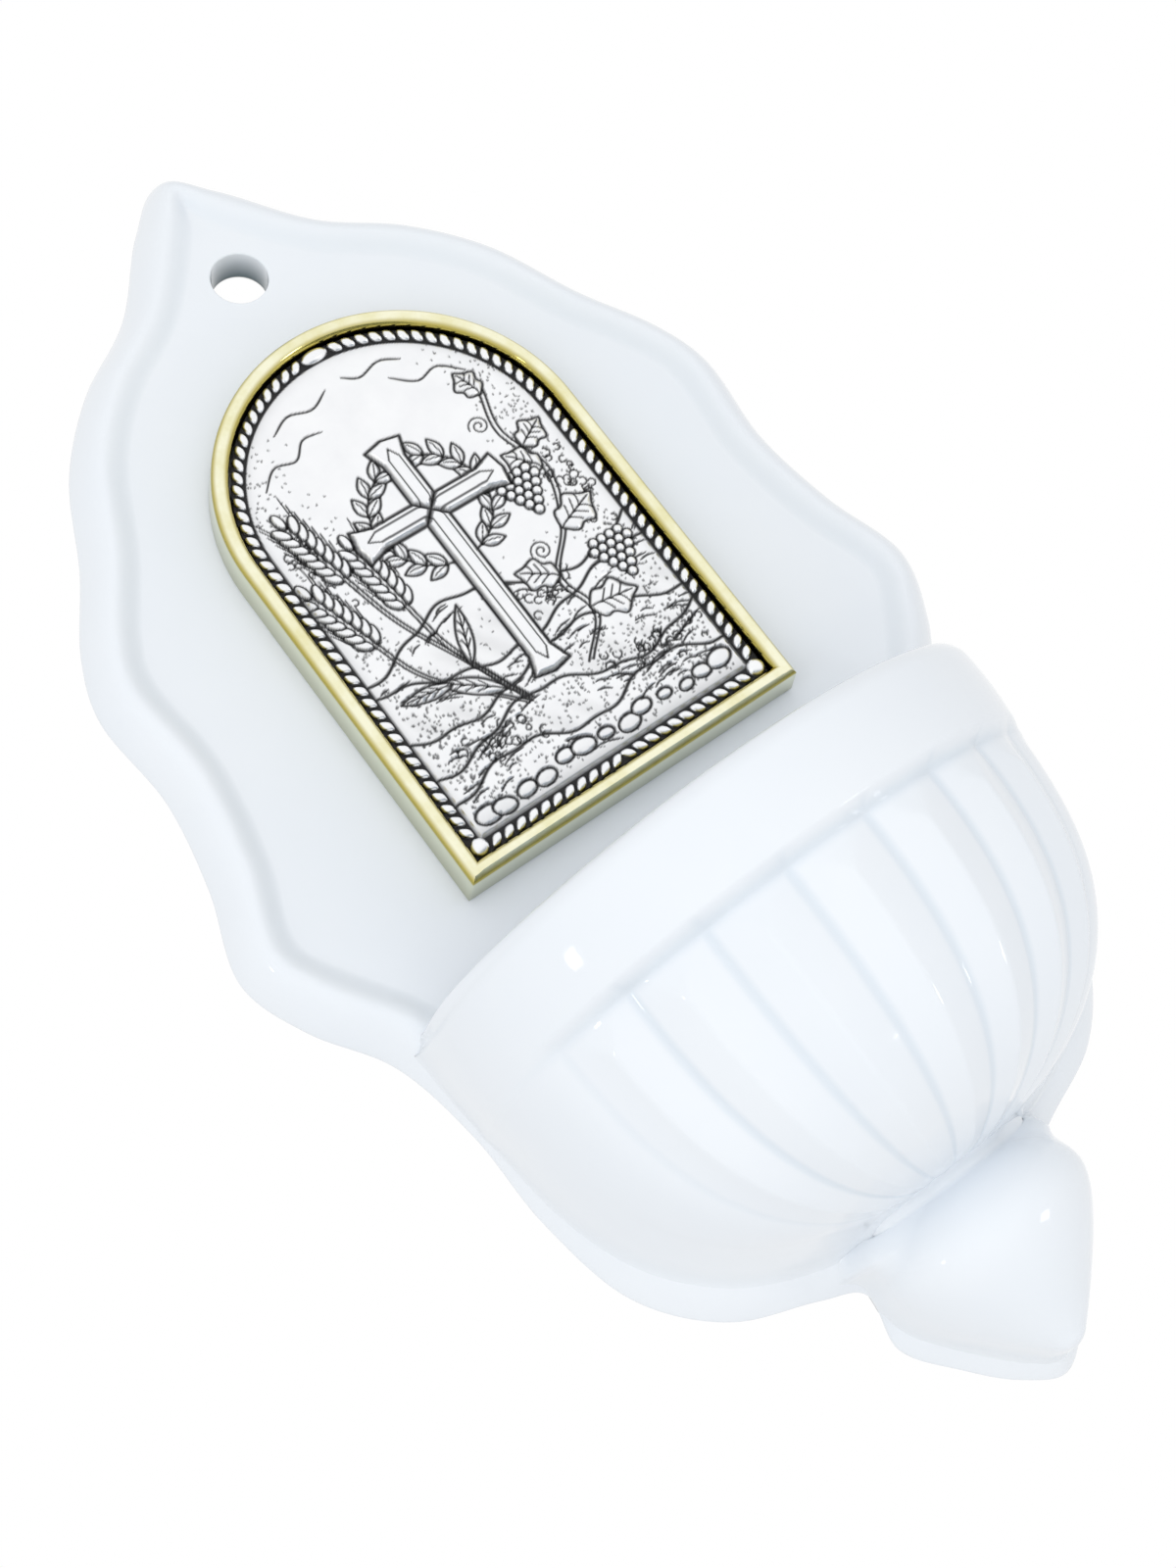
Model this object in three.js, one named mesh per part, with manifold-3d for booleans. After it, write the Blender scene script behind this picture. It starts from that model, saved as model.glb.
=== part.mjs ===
// A wall-hung holy water stoup: a glazed plate with a scalloped edge, a fluted half-round bowl and a bud
// luted to its front, and a small arched silver plaque in a gilt frame glued above the bowl.
// Millimetres, +Z up. The wall is the plane y = 0 and the front faces -y. The origin lies on the flat
// back of the plate, on its centre line and at half the height of the stoup.
import * as THREE from 'three';
import { mergeVertices } from 'three/addons/utils/BufferGeometryUtils.js';
import Module from 'manifold-3d';

const wasm = await Module();
wasm.setup();

// Clearances
const lutingGap = 0.3; // between glazed pieces that are stuck together
const glueLine = 0.1; // between the flat layers of the plaque
const fitGap = 0.2; // round the layers that lie inside the frame

// Back plate
const plateThickness = 4.5; // wall to the flat field
const borderRise = 1.3; // crest of the raised border above the field
const borderWidth = 5.2; // edge of the plate to the foot of the border
const crestInset = 3.3; // edge of the plate to the crest of the border
const flankFullness = 1.35; // exponent of the border's outer flank, 2 for a quarter ellipse
const ledgeWidth = 1; // what is left of the border beside the bowl
const edgeRound = 1.2; // rounding of the back edge
const hangHoleDiameter = 6;
const hangHoleHeight = 60.1;
const hangHoleChamfer = 0.6;

// Turns of the plate's scalloped edge from the tip down to the end of the lobe behind the bud:
// half width and height
const plateEdge = {
  tip: [0, 75.9],
  tipFlank: [5.2, 71.8],
  ogee: [12.2, 63.5],
  shoulder: [19.8, 58.2],
  upperLobe: [26.2, 51.2],
  upperHollow: [31.2, 41.3],
  middleFlank: [35.9, 33.6],
  middleLobe: [38, 27.2],
  waist: [37.3, 16.4],
  waistFlank: [38.8, 6.9],
  lowerLobe: [41.5, -2.6],
  lowerFlank: [39, -9.7],
  rimSide: [34.2, -17],
  collarSide: [32, -26.4],
  flank: [31.4, -37],
  hip: [28.7, -47.3],
  hipFoot: [22.6, -53.9],
  calyx: [14.8, -57.2],
  neckSide: [10.9, -59.2],
  lobeSide: [11.5, -65],
  lobeFlank: [7.9, -69.8],
  lobeFoot: [3.9, -73.8],
  lobeEnd: [0, -75.9],
};

// Bowl, turned about an upright axis in front of the plate
const bowlAxisDepth = 7.5; // wall to the axis
const rimHeight = -16.9;
const bellyRadius = 30.2;
const bellyDrop = 28.3; // depth of the belly below the collar
const bellyFullness = 2.45; // exponent of the belly's outline, 2 for a quarter ellipse
const neckRadius = 5.6;
const collarStep = 1.3; // how far the collar stands out beyond the belly
const collarHeight = 8.8;
const collarTaper = 0.3; // how much narrower the collar is at its foot
const collarRound = 0.9;
const lipRound = 2.1;
const bowlWall = 3.2; // between the belly and the basin
const bowlFloor = 4.6; // thickness under the lowest point of the basin
const gadroonCount = 22; // on the whole turn, half of them in front of the plate
const gadroonDepth = 1.1;
const gadroonCap = 3.8; // height of the rounded top of a gadroon
const gadroonFlatness = 2.8; // exponent of the gadroon's section
const gadroonFade = 1.5; // the gadroons flatten where the belly is narrower than its radius over this
const gadroonTurn = -2.7; // degrees, the fluting sits a little off the centre line
const gadroonReach = 70; // degrees from the front, the belly is plain from there to the plate
const gadroonRunOut = 26; // degrees over which the gadroons fade before that

// Bud under the bowl
const budNeckRadius = 3.4; // flat top that sits under the bowl
const budRadius = 10.8;
const budShoulderDrop = 5.7; // top of the bud to its widest ring
const budLength = 18.5;
const budCheekDrop = 3; // how far the bud stays full below its widest ring
const budTipRound = 2.2;

// Plaque
const plaqueWidth = 40;
const plaqueHeight = 58;
const plaqueFoot = -8.5; // height of the lower edge of the frame
const frameHeight = 4.4;
const frameWidth = 2;
const frameLean = 0.25; // how far the frame's outer wall leans in from its foot to the roll
const padInset = 5;
const padThickness = 0.8;
const coreThickness = 1.6;
const sheetThickness = 0.5;
const ropeRadius = 0.65;
const cornerBeadRadius = 1;
const apexBeadRadius = 0.78;
const apexBeadStretch = 2; // length of the oval bead at the apex over its height
const crossHeight = 29;
const crossSpan = 17;
const crossBar = 2.7;
const crossRise = 0.45;
const crossFootHeight = 12; // lower edge of the sheet to the foot of the cross

// Fineness of the curved faces
const outlineSteps = 3; // between two turns of the plate's edge
const edgeSteps = 2;
const flankSteps = 3;
const coveSteps = 3;
const archSteps = 36;
const gadroonSteps = 6; // across one gadroon
const capSteps = 4; // over the rounded top of a gadroon
const bellySteps = 14;
const arcSteps = 5;
const roundSteps = 32;

const degree = Math.PI / 180;
const rightAngle = Math.PI / 2;
const weldDistance = 1e-4;

// Solids

function solidOf(geometry) {
  const bare = geometry.clone();
  bare.deleteAttribute('normal');
  bare.deleteAttribute('uv');
  const merged = mergeVertices(bare, weldDistance);
  return new wasm.Manifold(new wasm.Mesh({
    numProp: 3,
    vertProperties: new Float32Array(merged.attributes.position.array),
    triVerts: new Uint32Array(merged.index.array),
  }));
}

function geometryOf(solid) {
  const mesh = solid.getMesh();
  const geometry = new THREE.BufferGeometry();
  geometry.setAttribute('position', new THREE.BufferAttribute(new Float32Array(mesh.vertProperties), 3));
  geometry.setIndex(new THREE.BufferAttribute(new Uint32Array(mesh.triVerts), 1));
  geometry.computeVertexNormals();
  return geometry;
}

function meshFrom(points, triangles) {
  const geometry = new THREE.BufferGeometry();
  geometry.setAttribute('position', new THREE.Float32BufferAttribute(points.flat(), 3));
  geometry.setIndex(triangles);
  geometry.computeVertexNormals();
  return geometry;
}

// The skin between rings with equally many points, each ring running anticlockwise for its viewer.
function skinTriangles(ringCount, ringSize, closedSection) {
  const triangles = [];
  const bands = closedSection ? ringCount : ringCount - 1;
  for (let band = 0; band < bands; band += 1) {
    const low = band * ringSize;
    const high = ((band + 1) % ringCount) * ringSize;
    for (let i = 0; i < ringSize; i += 1) {
      const j = (i + 1) % ringSize;
      triangles.push(low + i, low + j, high + j, low + i, high + j, high + i);
    }
  }
  return triangles;
}

const seenFromFront = ([x, , z]) => new THREE.Vector2(x, z);
const seenFromAbove = ([x, y]) => new THREE.Vector2(x, y);

// A solid whose rings come nearer to the viewer one by one, closed by a flat face at both ends.
function loft(rings, flatView) {
  const size = rings[0].length;
  const triangles = skinTriangles(rings.length, size, false);
  const last = (rings.length - 1) * size;
  for (const [a, b, c] of THREE.ShapeUtils.triangulateShape(rings[0].map(flatView), [])) {
    triangles.push(a, c, b);
  }
  for (const [a, b, c] of THREE.ShapeUtils.triangulateShape(rings.at(-1).map(flatView), [])) {
    triangles.push(last + a, last + b, last + c);
  }
  return meshFrom(rings.flat(), triangles);
}

// A closed moulding: the rings are the corners of its section, led round the outline.
function moulding(rings) {
  return meshFrom(rings.flat(), skinTriangles(rings.length, rings[0].length, true));
}

// A solid turned about the bowl's axis. Its profile of radius and height runs upwards; the radius may
// change with the angle from the front.
function turned(profile, segments, radiusAt = ([radius]) => radius) {
  const rings = profile.map((point) => {
    const ring = [];
    for (let i = 0; i < segments; i += 1) {
      const angle = gadroonTurn * degree + (2 * Math.PI * i) / segments;
      const radius = radiusAt(point, angle);
      ring.push([radius * Math.sin(angle), -bowlAxisDepth - radius * Math.cos(angle), point[1]]);
    }
    return ring;
  });
  return solidOf(loft(rings, seenFromAbove));
}

function arc(centre, radius, from, to, steps) {
  const points = [];
  for (let i = 0; i <= steps; i += 1) {
    const angle = from + ((to - from) * i) / steps;
    points.push([centre[0] + radius * Math.cos(angle), centre[1] + radius * Math.sin(angle)]);
  }
  return points;
}

// A point on a quarter curve: straight at fullness 1, an ellipse at 2 and squarer above.
function quarter(across, along, fullness, angle) {
  const power = 2 / fullness;
  return [across * Math.cos(angle) ** power, along * Math.sin(angle) ** power];
}

// Sizes that several pieces share

const collarRadius = bellyRadius + collarStep;
const lipFoot = rimHeight - lipRound;
const collarFoot = rimHeight - collarHeight;
const bellyTop = collarFoot - collarRound;
const neckAngle = Math.acos((neckRadius / bellyRadius) ** (bellyFullness / 2));
const neckHeight = bellyTop - quarter(bellyRadius, bellyDrop, bellyFullness, neckAngle)[1];
const budTop = neckHeight - lutingGap;

// Back plate

// The border keeps its full width and rise above the bowl and runs out beside it.
function borderShare(height) {
  return THREE.MathUtils.smoothstep(height, collarFoot, rimHeight + lipRound);
}

// One ring of the plate: the edge drawn in by an inset, at a depth that may change with the height.
function plateRing(insetAt, depthAt) {
  const half = Object.values(plateEdge);
  const turns = [...half.map(([x, z]) => [-x, z]), ...half.slice(1, -1).reverse()];
  const drawnIn = turns.map(([x, z], i) => {
    const before = turns.at(i - 1);
    const after = turns[(i + 1) % turns.length];
    const normal = new THREE.Vector2(after[1] - before[1], before[0] - after[0]).normalize();
    const inset = insetAt(z);
    return new THREE.Vector3(x - normal.x * inset, z, z - normal.y * inset);
  });
  const curve = new THREE.CatmullRomCurve3(drawnIn, true, 'centripetal');
  const points = curve.getPoints(turns.length * outlineSteps).slice(0, -1);
  return points.map((point) => [point.x, -depthAt(point.y), point.z]);
}

// The plate without its hole. The bowl and the bud are cut by a copy that stands a little proud.
function plateBody(proud = 0) {
  const width = (z) => THREE.MathUtils.lerp(ledgeWidth, borderWidth, borderShare(z));
  const crest = (z) => width(z) * (crestInset / borderWidth);
  const rise = (z) => borderRise * borderShare(z);
  const field = plateThickness + proud;
  const rings = [];
  for (let i = 0; i <= edgeSteps; i += 1) {
    const angle = (rightAngle * i) / edgeSteps;
    const inset = edgeRound * (1 - Math.sin(angle));
    const depth = edgeRound * (1 - Math.cos(angle));
    rings.push(plateRing(() => inset, () => depth));
  }
  for (let i = 1; i <= flankSteps; i += 1) {
    const [out, up] = quarter(1, 1, flankFullness, (rightAngle * i) / flankSteps);
    rings.push(plateRing(
      (z) => crest(z) * (1 - out),
      (z) => THREE.MathUtils.lerp(edgeRound, field + rise(z), up),
    ));
  }
  for (let i = 1; i <= coveSteps; i += 1) {
    const share = i / coveSteps;
    const left = 1 - THREE.MathUtils.smoothstep(share, 0, 1);
    rings.push(plateRing(
      (z) => THREE.MathUtils.lerp(crest(z), width(z), share),
      (z) => field + rise(z) * left,
    ));
  }
  return solidOf(loft(rings, seenFromFront));
}

function backPlate() {
  const radius = hangHoleDiameter / 2;
  const mouth = radius + hangHoleChamfer;
  const bore = new THREE.LatheGeometry([
    [0, -plateThickness], [radius, -plateThickness], [radius, plateThickness - hangHoleChamfer],
    [mouth + plateThickness, 2 * plateThickness], [0, 2 * plateThickness],
  ].map(([x, y]) => new THREE.Vector2(x, y)), roundSteps);
  bore.rotateX(Math.PI);
  bore.translate(0, 0, hangHoleHeight);
  return geometryOf(plateBody().subtract(solidOf(bore)));
}

// What stands in front of the plate, cut to seat on it.
function seatedOnPlate(solid) {
  return geometryOf(solid.trimByPlane([0, -1, 0], plateThickness).subtract(plateBody(lutingGap)));
}

// Bowl

// How far the glazed surface lies inside the belly's outline: nothing on the crest of a gadroon, the full
// depth in the groove beside it and in the groove over its rounded top, and nothing beside the plate.
function gadroonHollow(angle, radius, drop) {
  const pitch = (2 * Math.PI) / gadroonCount;
  const turns = (angle - gadroonTurn * degree) / pitch;
  const across = 2 * Math.abs(turns - Math.round(turns));
  const upward = THREE.MathUtils.clamp(1 - drop / gadroonCap, 0, 1);
  const hollow = (across ** gadroonFlatness + upward ** gadroonFlatness) ** (1 / gadroonFlatness);
  const fromFront = Math.acos(Math.cos(angle)) / degree;
  const shown = THREE.MathUtils.smoothstep(gadroonReach - fromFront, 0, gadroonRunOut);
  return gadroonDepth * shown * Math.min(1, hollow) * Math.min(1, (gadroonFade * radius) / bellyRadius);
}

// The bowl before it is hollowed. The points of its belly carry their drop below the collar as well.
function bowlBody() {
  const footRadius = collarRadius - collarTaper;
  const capAngle = Math.asin((gadroonCap / bellyDrop) ** (bellyFullness / 2));
  const angles = [];
  for (let i = 0; i < bellySteps; i += 1) {
    angles.push(THREE.MathUtils.lerp(neckAngle, capAngle, i / bellySteps));
  }
  for (let i = 0; i <= capSteps; i += 1) {
    angles.push(THREE.MathUtils.lerp(capAngle, 0, i / capSteps));
  }
  const belly = angles.map((angle) => {
    const [radius, drop] = quarter(bellyRadius, bellyDrop, bellyFullness, angle);
    return [radius, bellyTop - drop, drop];
  });
  const collar = [
    ...arc([footRadius - collarRound, collarFoot], collarRound, -rightAngle, 0, arcSteps),
    ...arc([collarRadius - lipRound, lipFoot], lipRound, 0, rightAngle, arcSteps),
  ];
  const fluted = ([radius, , drop], angle) => (
    drop === undefined ? radius : radius - gadroonHollow(angle, radius, drop)
  );
  return turned([...belly, ...collar], gadroonCount * gadroonSteps, fluted);
}

function basin() {
  const mouth = bellyRadius - bowlWall;
  const depth = lipFoot - neckHeight - bowlFloor;
  const profile = [];
  for (let i = bellySteps - 1; i > 0; i -= 1) {
    const [radius, drop] = quarter(mouth, depth, bellyFullness, (rightAngle * i) / bellySteps);
    profile.push([radius, lipFoot - drop]);
  }
  profile.push(...arc([mouth + lipRound, lipFoot], lipRound, Math.PI, rightAngle, arcSteps));
  profile.push([mouth + 2 * lipRound, rimHeight + lipRound]);
  return turned(profile, 2 * roundSteps);
}

// Bud: a rounded tip, a cheek that swells to the widest ring, and a domed shoulder up to the neck.
function budBody() {
  const widest = budTop - budShoulderDrop;
  const tipCentre = budTop - budLength + budTipRound;
  const lean = Math.atan2(budRadius - budTipRound, widest - tipCentre);
  const end = arc([0, tipCentre], budTipRound, -rightAngle, -lean, arcSteps).slice(1);
  const cheek = new THREE.QuadraticBezierCurve(
    new THREE.Vector2(...end.at(-1)),
    new THREE.Vector2(budRadius, widest - budCheekDrop),
    new THREE.Vector2(budRadius, widest),
  ).getPoints(2 * arcSteps).map((point) => [point.x, point.y]);
  const shoulder = [];
  for (let i = 1; i <= arcSteps; i += 1) {
    const angle = (rightAngle * i) / arcSteps;
    shoulder.push([
      THREE.MathUtils.lerp(budNeckRadius, budRadius, Math.cos(angle)),
      widest + budShoulderDrop * Math.sin(angle),
    ]);
  }
  return turned([...end, ...cheek.slice(1), ...shoulder], roundSteps);
}

// Plaque

// An arch with a straight foot, drawn in by an inset: two corners, then the half circle.
function archRing(inset, depth) {
  const radius = plaqueWidth / 2 - inset;
  const spring = plaqueFoot + plaqueHeight - plaqueWidth / 2;
  const ring = [[-radius, depth, plaqueFoot + inset], [radius, depth, plaqueFoot + inset]];
  for (const [x, z] of arc([0, spring], radius, 0, Math.PI, archSteps)) {
    ring.push([x, depth, z]);
  }
  return ring;
}

function slab(inset, back, thickness) {
  return loft([archRing(inset, -back), archRing(inset, -back - thickness)], seenFromFront);
}

const padBack = plateThickness + glueLine;
const coreBack = padBack + padThickness + glueLine;
const sheetBack = coreBack + coreThickness + glueLine;
const sheetFront = sheetBack + sheetThickness;
const layerInset = frameWidth + fitGap;
const ropeMiddle = layerInset + ropeRadius;
const cornerBeadInset = layerInset + cornerBeadRadius;
const apexBeadInset = layerInset + apexBeadRadius;

function plaqueFrame() {
  const front = padBack + frameHeight;
  const rollRadius = (frameWidth - frameLean) / 2;
  const rollCentre = [frameLean + rollRadius, front - rollRadius];
  const section = [
    [frameWidth, padBack], [0, padBack],
    ...arc(rollCentre, rollRadius, Math.PI, 0, 2 * arcSteps),
  ];
  return moulding(section.map(([inset, depth]) => archRing(inset, -depth)));
}

// A half-round boss on the sheet, drawn out sideways by its stretch.
function bead(x, z, radius, stretch) {
  const root = -sheetThickness / 2;
  const profile = [[0, root], [radius, root], ...arc([0, 0], radius, 0, rightAngle, arcSteps)];
  const boss = new THREE.LatheGeometry(profile.map(([r, y]) => new THREE.Vector2(r, y)), 3 * arcSteps);
  boss.rotateX(Math.PI);
  boss.scale(stretch, 1, 1);
  boss.translate(x, -sheetFront, z);
  return solidOf(boss);
}

function crossRelief() {
  const foot = plaqueFoot + layerInset + crossFootHeight;
  const beam = foot + crossHeight - crossSpan / 2;
  const half = crossBar / 2;
  const corners = [
    [-half, foot], [half, foot], [half, beam - half], [crossSpan / 2, beam - half],
    [crossSpan / 2, beam + half], [half, beam + half], [half, foot + crossHeight],
    [-half, foot + crossHeight], [-half, beam + half], [-crossSpan / 2, beam + half],
    [-crossSpan / 2, beam - half], [-half, beam - half],
  ];
  const ring = (depth) => corners.map(([x, z]) => [x, -depth, z]);
  return solidOf(loft([ring(sheetBack + sheetThickness / 2), ring(sheetFront + crossRise)], seenFromFront));
}

function reliefSheet() {
  const rope = arc([ropeMiddle, sheetFront], ropeRadius, Math.PI, 0, arcSteps + 1);
  const rings = [archRing(layerInset, -sheetBack)];
  for (const [inset, depth] of [[layerInset, sheetFront], ...rope]) {
    rings.push(archRing(inset, -depth));
  }
  const corner = plaqueWidth / 2 - cornerBeadInset;
  const cornerHeight = plaqueFoot + cornerBeadInset;
  const apex = plaqueFoot + plaqueHeight - apexBeadInset;
  return geometryOf(solidOf(loft(rings, seenFromFront))
    .add(bead(-corner, cornerHeight, cornerBeadRadius, 1))
    .add(bead(corner, cornerHeight, cornerBeadRadius, 1))
    .add(bead(0, apex, apexBeadRadius, apexBeadStretch))
    .add(crossRelief()));
}

// Finishes and assembly

function finish(color, roughness, metalness) {
  return new THREE.MeshStandardMaterial({ color, roughness, metalness });
}

function piece(name, geometry, material) {
  const mesh = new THREE.Mesh(geometry, material);
  mesh.name = name;
  return mesh;
}

const stoup = new THREE.Group();
stoup.add(
  piece('back_plate', backPlate(), finish(0xe9eff5, 0.12, 0)),
  piece('bowl', seatedOnPlate(bowlBody().subtract(basin())), finish(0xeaf0f6, 0.12, 0)),
  piece('bud', seatedOnPlate(budBody()), finish(0xeaf0f6, 0.12, 0)),
  piece('plaque_frame', plaqueFrame(), finish(0xd8c46a, 0.15, 1)),
  piece('relief_sheet', reliefSheet(), finish(0xc6c7ca, 0.32, 1)),
  piece('plaque_core', slab(layerInset, coreBack, coreThickness), finish(0xb8a583, 0.8, 0)),
  piece('adhesive_pad', slab(padInset, padBack, padThickness), finish(0xefeee8, 0.9, 0)),
);

export default stoup;
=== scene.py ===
import math
import bmesh
import bpy
import numpy as np
from mathutils import Matrix, Vector


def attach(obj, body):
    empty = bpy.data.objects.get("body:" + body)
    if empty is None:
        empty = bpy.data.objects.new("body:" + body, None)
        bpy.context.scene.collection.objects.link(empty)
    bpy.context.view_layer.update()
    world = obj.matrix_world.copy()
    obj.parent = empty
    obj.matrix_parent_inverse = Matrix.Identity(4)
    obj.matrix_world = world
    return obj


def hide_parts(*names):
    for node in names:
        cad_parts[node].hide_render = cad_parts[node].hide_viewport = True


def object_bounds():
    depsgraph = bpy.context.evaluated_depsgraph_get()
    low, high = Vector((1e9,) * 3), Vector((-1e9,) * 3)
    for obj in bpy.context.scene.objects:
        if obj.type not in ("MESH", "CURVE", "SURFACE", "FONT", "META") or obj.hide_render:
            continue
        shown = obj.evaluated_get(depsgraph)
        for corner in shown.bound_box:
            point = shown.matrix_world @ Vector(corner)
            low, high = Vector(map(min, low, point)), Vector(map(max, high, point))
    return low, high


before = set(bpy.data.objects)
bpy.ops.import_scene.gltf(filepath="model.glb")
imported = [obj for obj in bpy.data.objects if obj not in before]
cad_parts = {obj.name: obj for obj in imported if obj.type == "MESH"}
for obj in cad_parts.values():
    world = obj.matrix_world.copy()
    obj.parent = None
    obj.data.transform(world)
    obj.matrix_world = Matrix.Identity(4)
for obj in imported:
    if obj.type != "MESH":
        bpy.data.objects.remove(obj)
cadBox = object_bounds()
print("frame loaded:", ", ".join(sorted(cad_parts)))

mm = 0.001  # shapes are worked out in millimetres, Blender gets metres
scene = bpy.context.scene


# small tools

def easeBetween(value, low, high):
    share = np.clip((value - low) / (high - low), 0.0, 1.0)
    return share * share * (3 - 2 * share)


def quarterCurve(across, along, fullness, angle):
    # straight at fullness 1, an ellipse at 2, squarer above
    power = 2 / fullness
    return across * np.cos(angle) ** power, along * np.sin(angle) ** power


def bezier(share, start, first, second, end):
    back = 1 - share
    return back ** 3 * start + 3 * back ** 2 * share * first + 3 * back * share ** 2 * second + share ** 3 * end


def arcPoints(centreX, centreY, radius, start, end, steps):
    return [(centreX + radius * math.cos(a), centreY + radius * math.sin(a))
            for a in np.linspace(start, end, steps + 1)]


def ringFaces(ringCount, ringSize, closedRing=True):
    # quads between rings that follow each other, every ring with the same number of points
    faces = []
    for ring in range(ringCount - 1):
        low, high = ring * ringSize, (ring + 1) * ringSize
        for i in range(ringSize if closedRing else ringSize - 1):
            j = (i + 1) % ringSize
            faces.append((low + i, low + j, high + j, high + i))
    return faces


def makePiece(name, points, faces, material, weld=0.0, fillHoles=False, sharpAngle=None):
    mesh = bpy.data.meshes.new(name)
    mesh.from_pydata([tuple(p) for p in np.asarray(points) * mm], [], faces)
    work = bmesh.new()
    work.from_mesh(mesh)
    if weld:
        bmesh.ops.remove_doubles(work, verts=work.verts, dist=weld * mm)
    if fillHoles:
        bmesh.ops.holes_fill(work, edges=[e for e in work.edges if e.is_boundary])
    bmesh.ops.recalc_face_normals(work, faces=work.faces)
    work.to_mesh(mesh)
    work.free()
    mesh.polygons.foreach_set("use_smooth", [True] * len(mesh.polygons))
    if sharpAngle:
        mesh.set_sharp_from_angle(angle=math.radians(sharpAngle))
    mesh.materials.append(material)
    piece = bpy.data.objects.new(name, mesh)
    scene.collection.objects.link(piece)
    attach(piece, "root")
    return piece


def storeShare(piece, name, values):
    layer = piece.data.attributes.new(name, "FLOAT", "POINT")
    layer.data.foreach_set("value", np.asarray(values, np.float32))


# materials

def newMaterial(name):
    material = bpy.data.materials.new(name)
    material.use_nodes = True
    nodes, links = material.node_tree.nodes, material.node_tree.links
    shader = nodes["Principled BSDF"]
    return material, nodes, links, shader


def addNode(nodes, kind, **settings):
    node = nodes.new(kind)
    for key, value in settings.items():
        setattr(node, key, value)
    return node


def noiseNode(nodes, links, scale, detail=2.0, roughness=0.5):
    place = addNode(nodes, "ShaderNodeTexCoord")
    noise = addNode(nodes, "ShaderNodeTexNoise")
    noise.inputs["Scale"].default_value = scale
    noise.inputs["Detail"].default_value = detail
    noise.inputs["Roughness"].default_value = roughness
    links.new(place.outputs["Object"], noise.inputs["Vector"])
    return noise


def rampNode(nodes, links, source, stops):
    ramp = addNode(nodes, "ShaderNodeValToRGB")
    ramp.color_ramp.elements[0].position, ramp.color_ramp.elements[0].color = stops[0][0], (*stops[0][1], 1)
    ramp.color_ramp.elements[1].position, ramp.color_ramp.elements[1].color = stops[-1][0], (*stops[-1][1], 1)
    for position, colour in stops[1:-1]:
        ramp.color_ramp.elements.new(position).color = (*colour, 1)
    links.new(source, ramp.inputs["Fac"])
    return ramp


def rangeNode(nodes, links, source, fromLow, fromHigh, toLow, toHigh):
    spread = addNode(nodes, "ShaderNodeMapRange")
    for key, value in (("From Min", fromLow), ("From Max", fromHigh), ("To Min", toLow), ("To Max", toHigh)):
        spread.inputs[key].default_value = value
    links.new(source, spread.inputs["Value"])
    return spread.outputs["Result"]


def mixColour(nodes, links, share, first, second):
    mix = addNode(nodes, "ShaderNodeMix", data_type="RGBA")
    links.new(share, mix.inputs["Factor"])
    for socket, value in ((mix.inputs[6], first), (mix.inputs[7], second)):
        if isinstance(value, tuple):
            socket.default_value = (*value, 1)
        else:
            links.new(value, socket)
    return mix.outputs[2]


glaze = {
    "thin": (0.88, 0.92, 0.965),  # over crests
    "body": (0.86, 0.905, 0.957),
    "pooledShaded": (0.70, 0.78, 0.86),  # where the glaze is thick, and painted shade in grooves, creases and the border's cove
    "bore": (0.07, 0.12, 0.14),  # painted shadow inside the hanging hole
    "bare": (0.84, 0.825, 0.79),  # fired clay of the wiped back
    "gloss": 0.07,
    "waviness": 0.05,
}


def makeGlaze():
    material, nodes, links, shader = newMaterial("white_glaze")
    cloud = noiseNode(nodes, links, 55, 3)
    body = rampNode(nodes, links, cloud.outputs["Fac"], [(0.35, glaze["body"]), (0.7, glaze["thin"])])
    # thick glaze, and painted shade, in grooves, creases and the border's cove
    glazePoolShade = addNode(nodes, "ShaderNodeAttribute", attribute_name="glazePoolShade")
    pooledShaded = mixColour(nodes, links, glazePoolShade.outputs["Fac"], body.outputs["Color"], glaze["pooledShaded"])
    # painted shadow inside the hanging hole, with less shine there
    bore = addNode(nodes, "ShaderNodeAttribute", attribute_name="bore")
    pooledShaded = mixColour(nodes, links, bore.outputs["Fac"], pooledShaded, glaze["bore"])
    links.new(rangeNode(nodes, links, bore.outputs["Fac"], 0, 1, 0.5, 0.1), shader.inputs["Specular IOR Level"])
    # the flat back is wiped clean of glaze, so it doesn't stick in the kiln
    place = addNode(nodes, "ShaderNodeNewGeometry")
    apart = addNode(nodes, "ShaderNodeSeparateXYZ")
    links.new(place.outputs["Position"], apart.inputs["Vector"])
    back = rangeNode(nodes, links, apart.outputs["Y"], -0.45 * mm, -0.1 * mm, 0, 1)
    grain = noiseNode(nodes, links, 900, 4, 0.65)
    clay = mixColour(nodes, links, grain.outputs["Fac"], glaze["bare"],
                     tuple(0.93 * c for c in glaze["bare"]))
    links.new(mixColour(nodes, links, back, pooledShaded, clay), shader.inputs["Base Color"])
    smear = noiseNode(nodes, links, 140, 3)
    wet = rangeNode(nodes, links, smear.outputs["Fac"], 0.3, 0.7, glaze["gloss"] * 0.7, glaze["gloss"] * 1.4)
    dull = addNode(nodes, "ShaderNodeMix")
    dull.inputs["B"].default_value = 0.72
    links.new(back, dull.inputs["Factor"])
    links.new(wet, dull.inputs["A"])
    links.new(dull.outputs["Result"], shader.inputs["Roughness"])
    swell = noiseNode(nodes, links, 160, 1)
    bump = addNode(nodes, "ShaderNodeBump")
    bump.inputs["Strength"].default_value = glaze["waviness"]
    bump.inputs["Distance"].default_value = 1 * mm
    links.new(swell.outputs["Fac"], bump.inputs["Height"])
    links.new(bump.outputs["Normal"], shader.inputs["Normal"])
    shader.inputs["IOR"].default_value = 1.5
    return material


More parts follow.
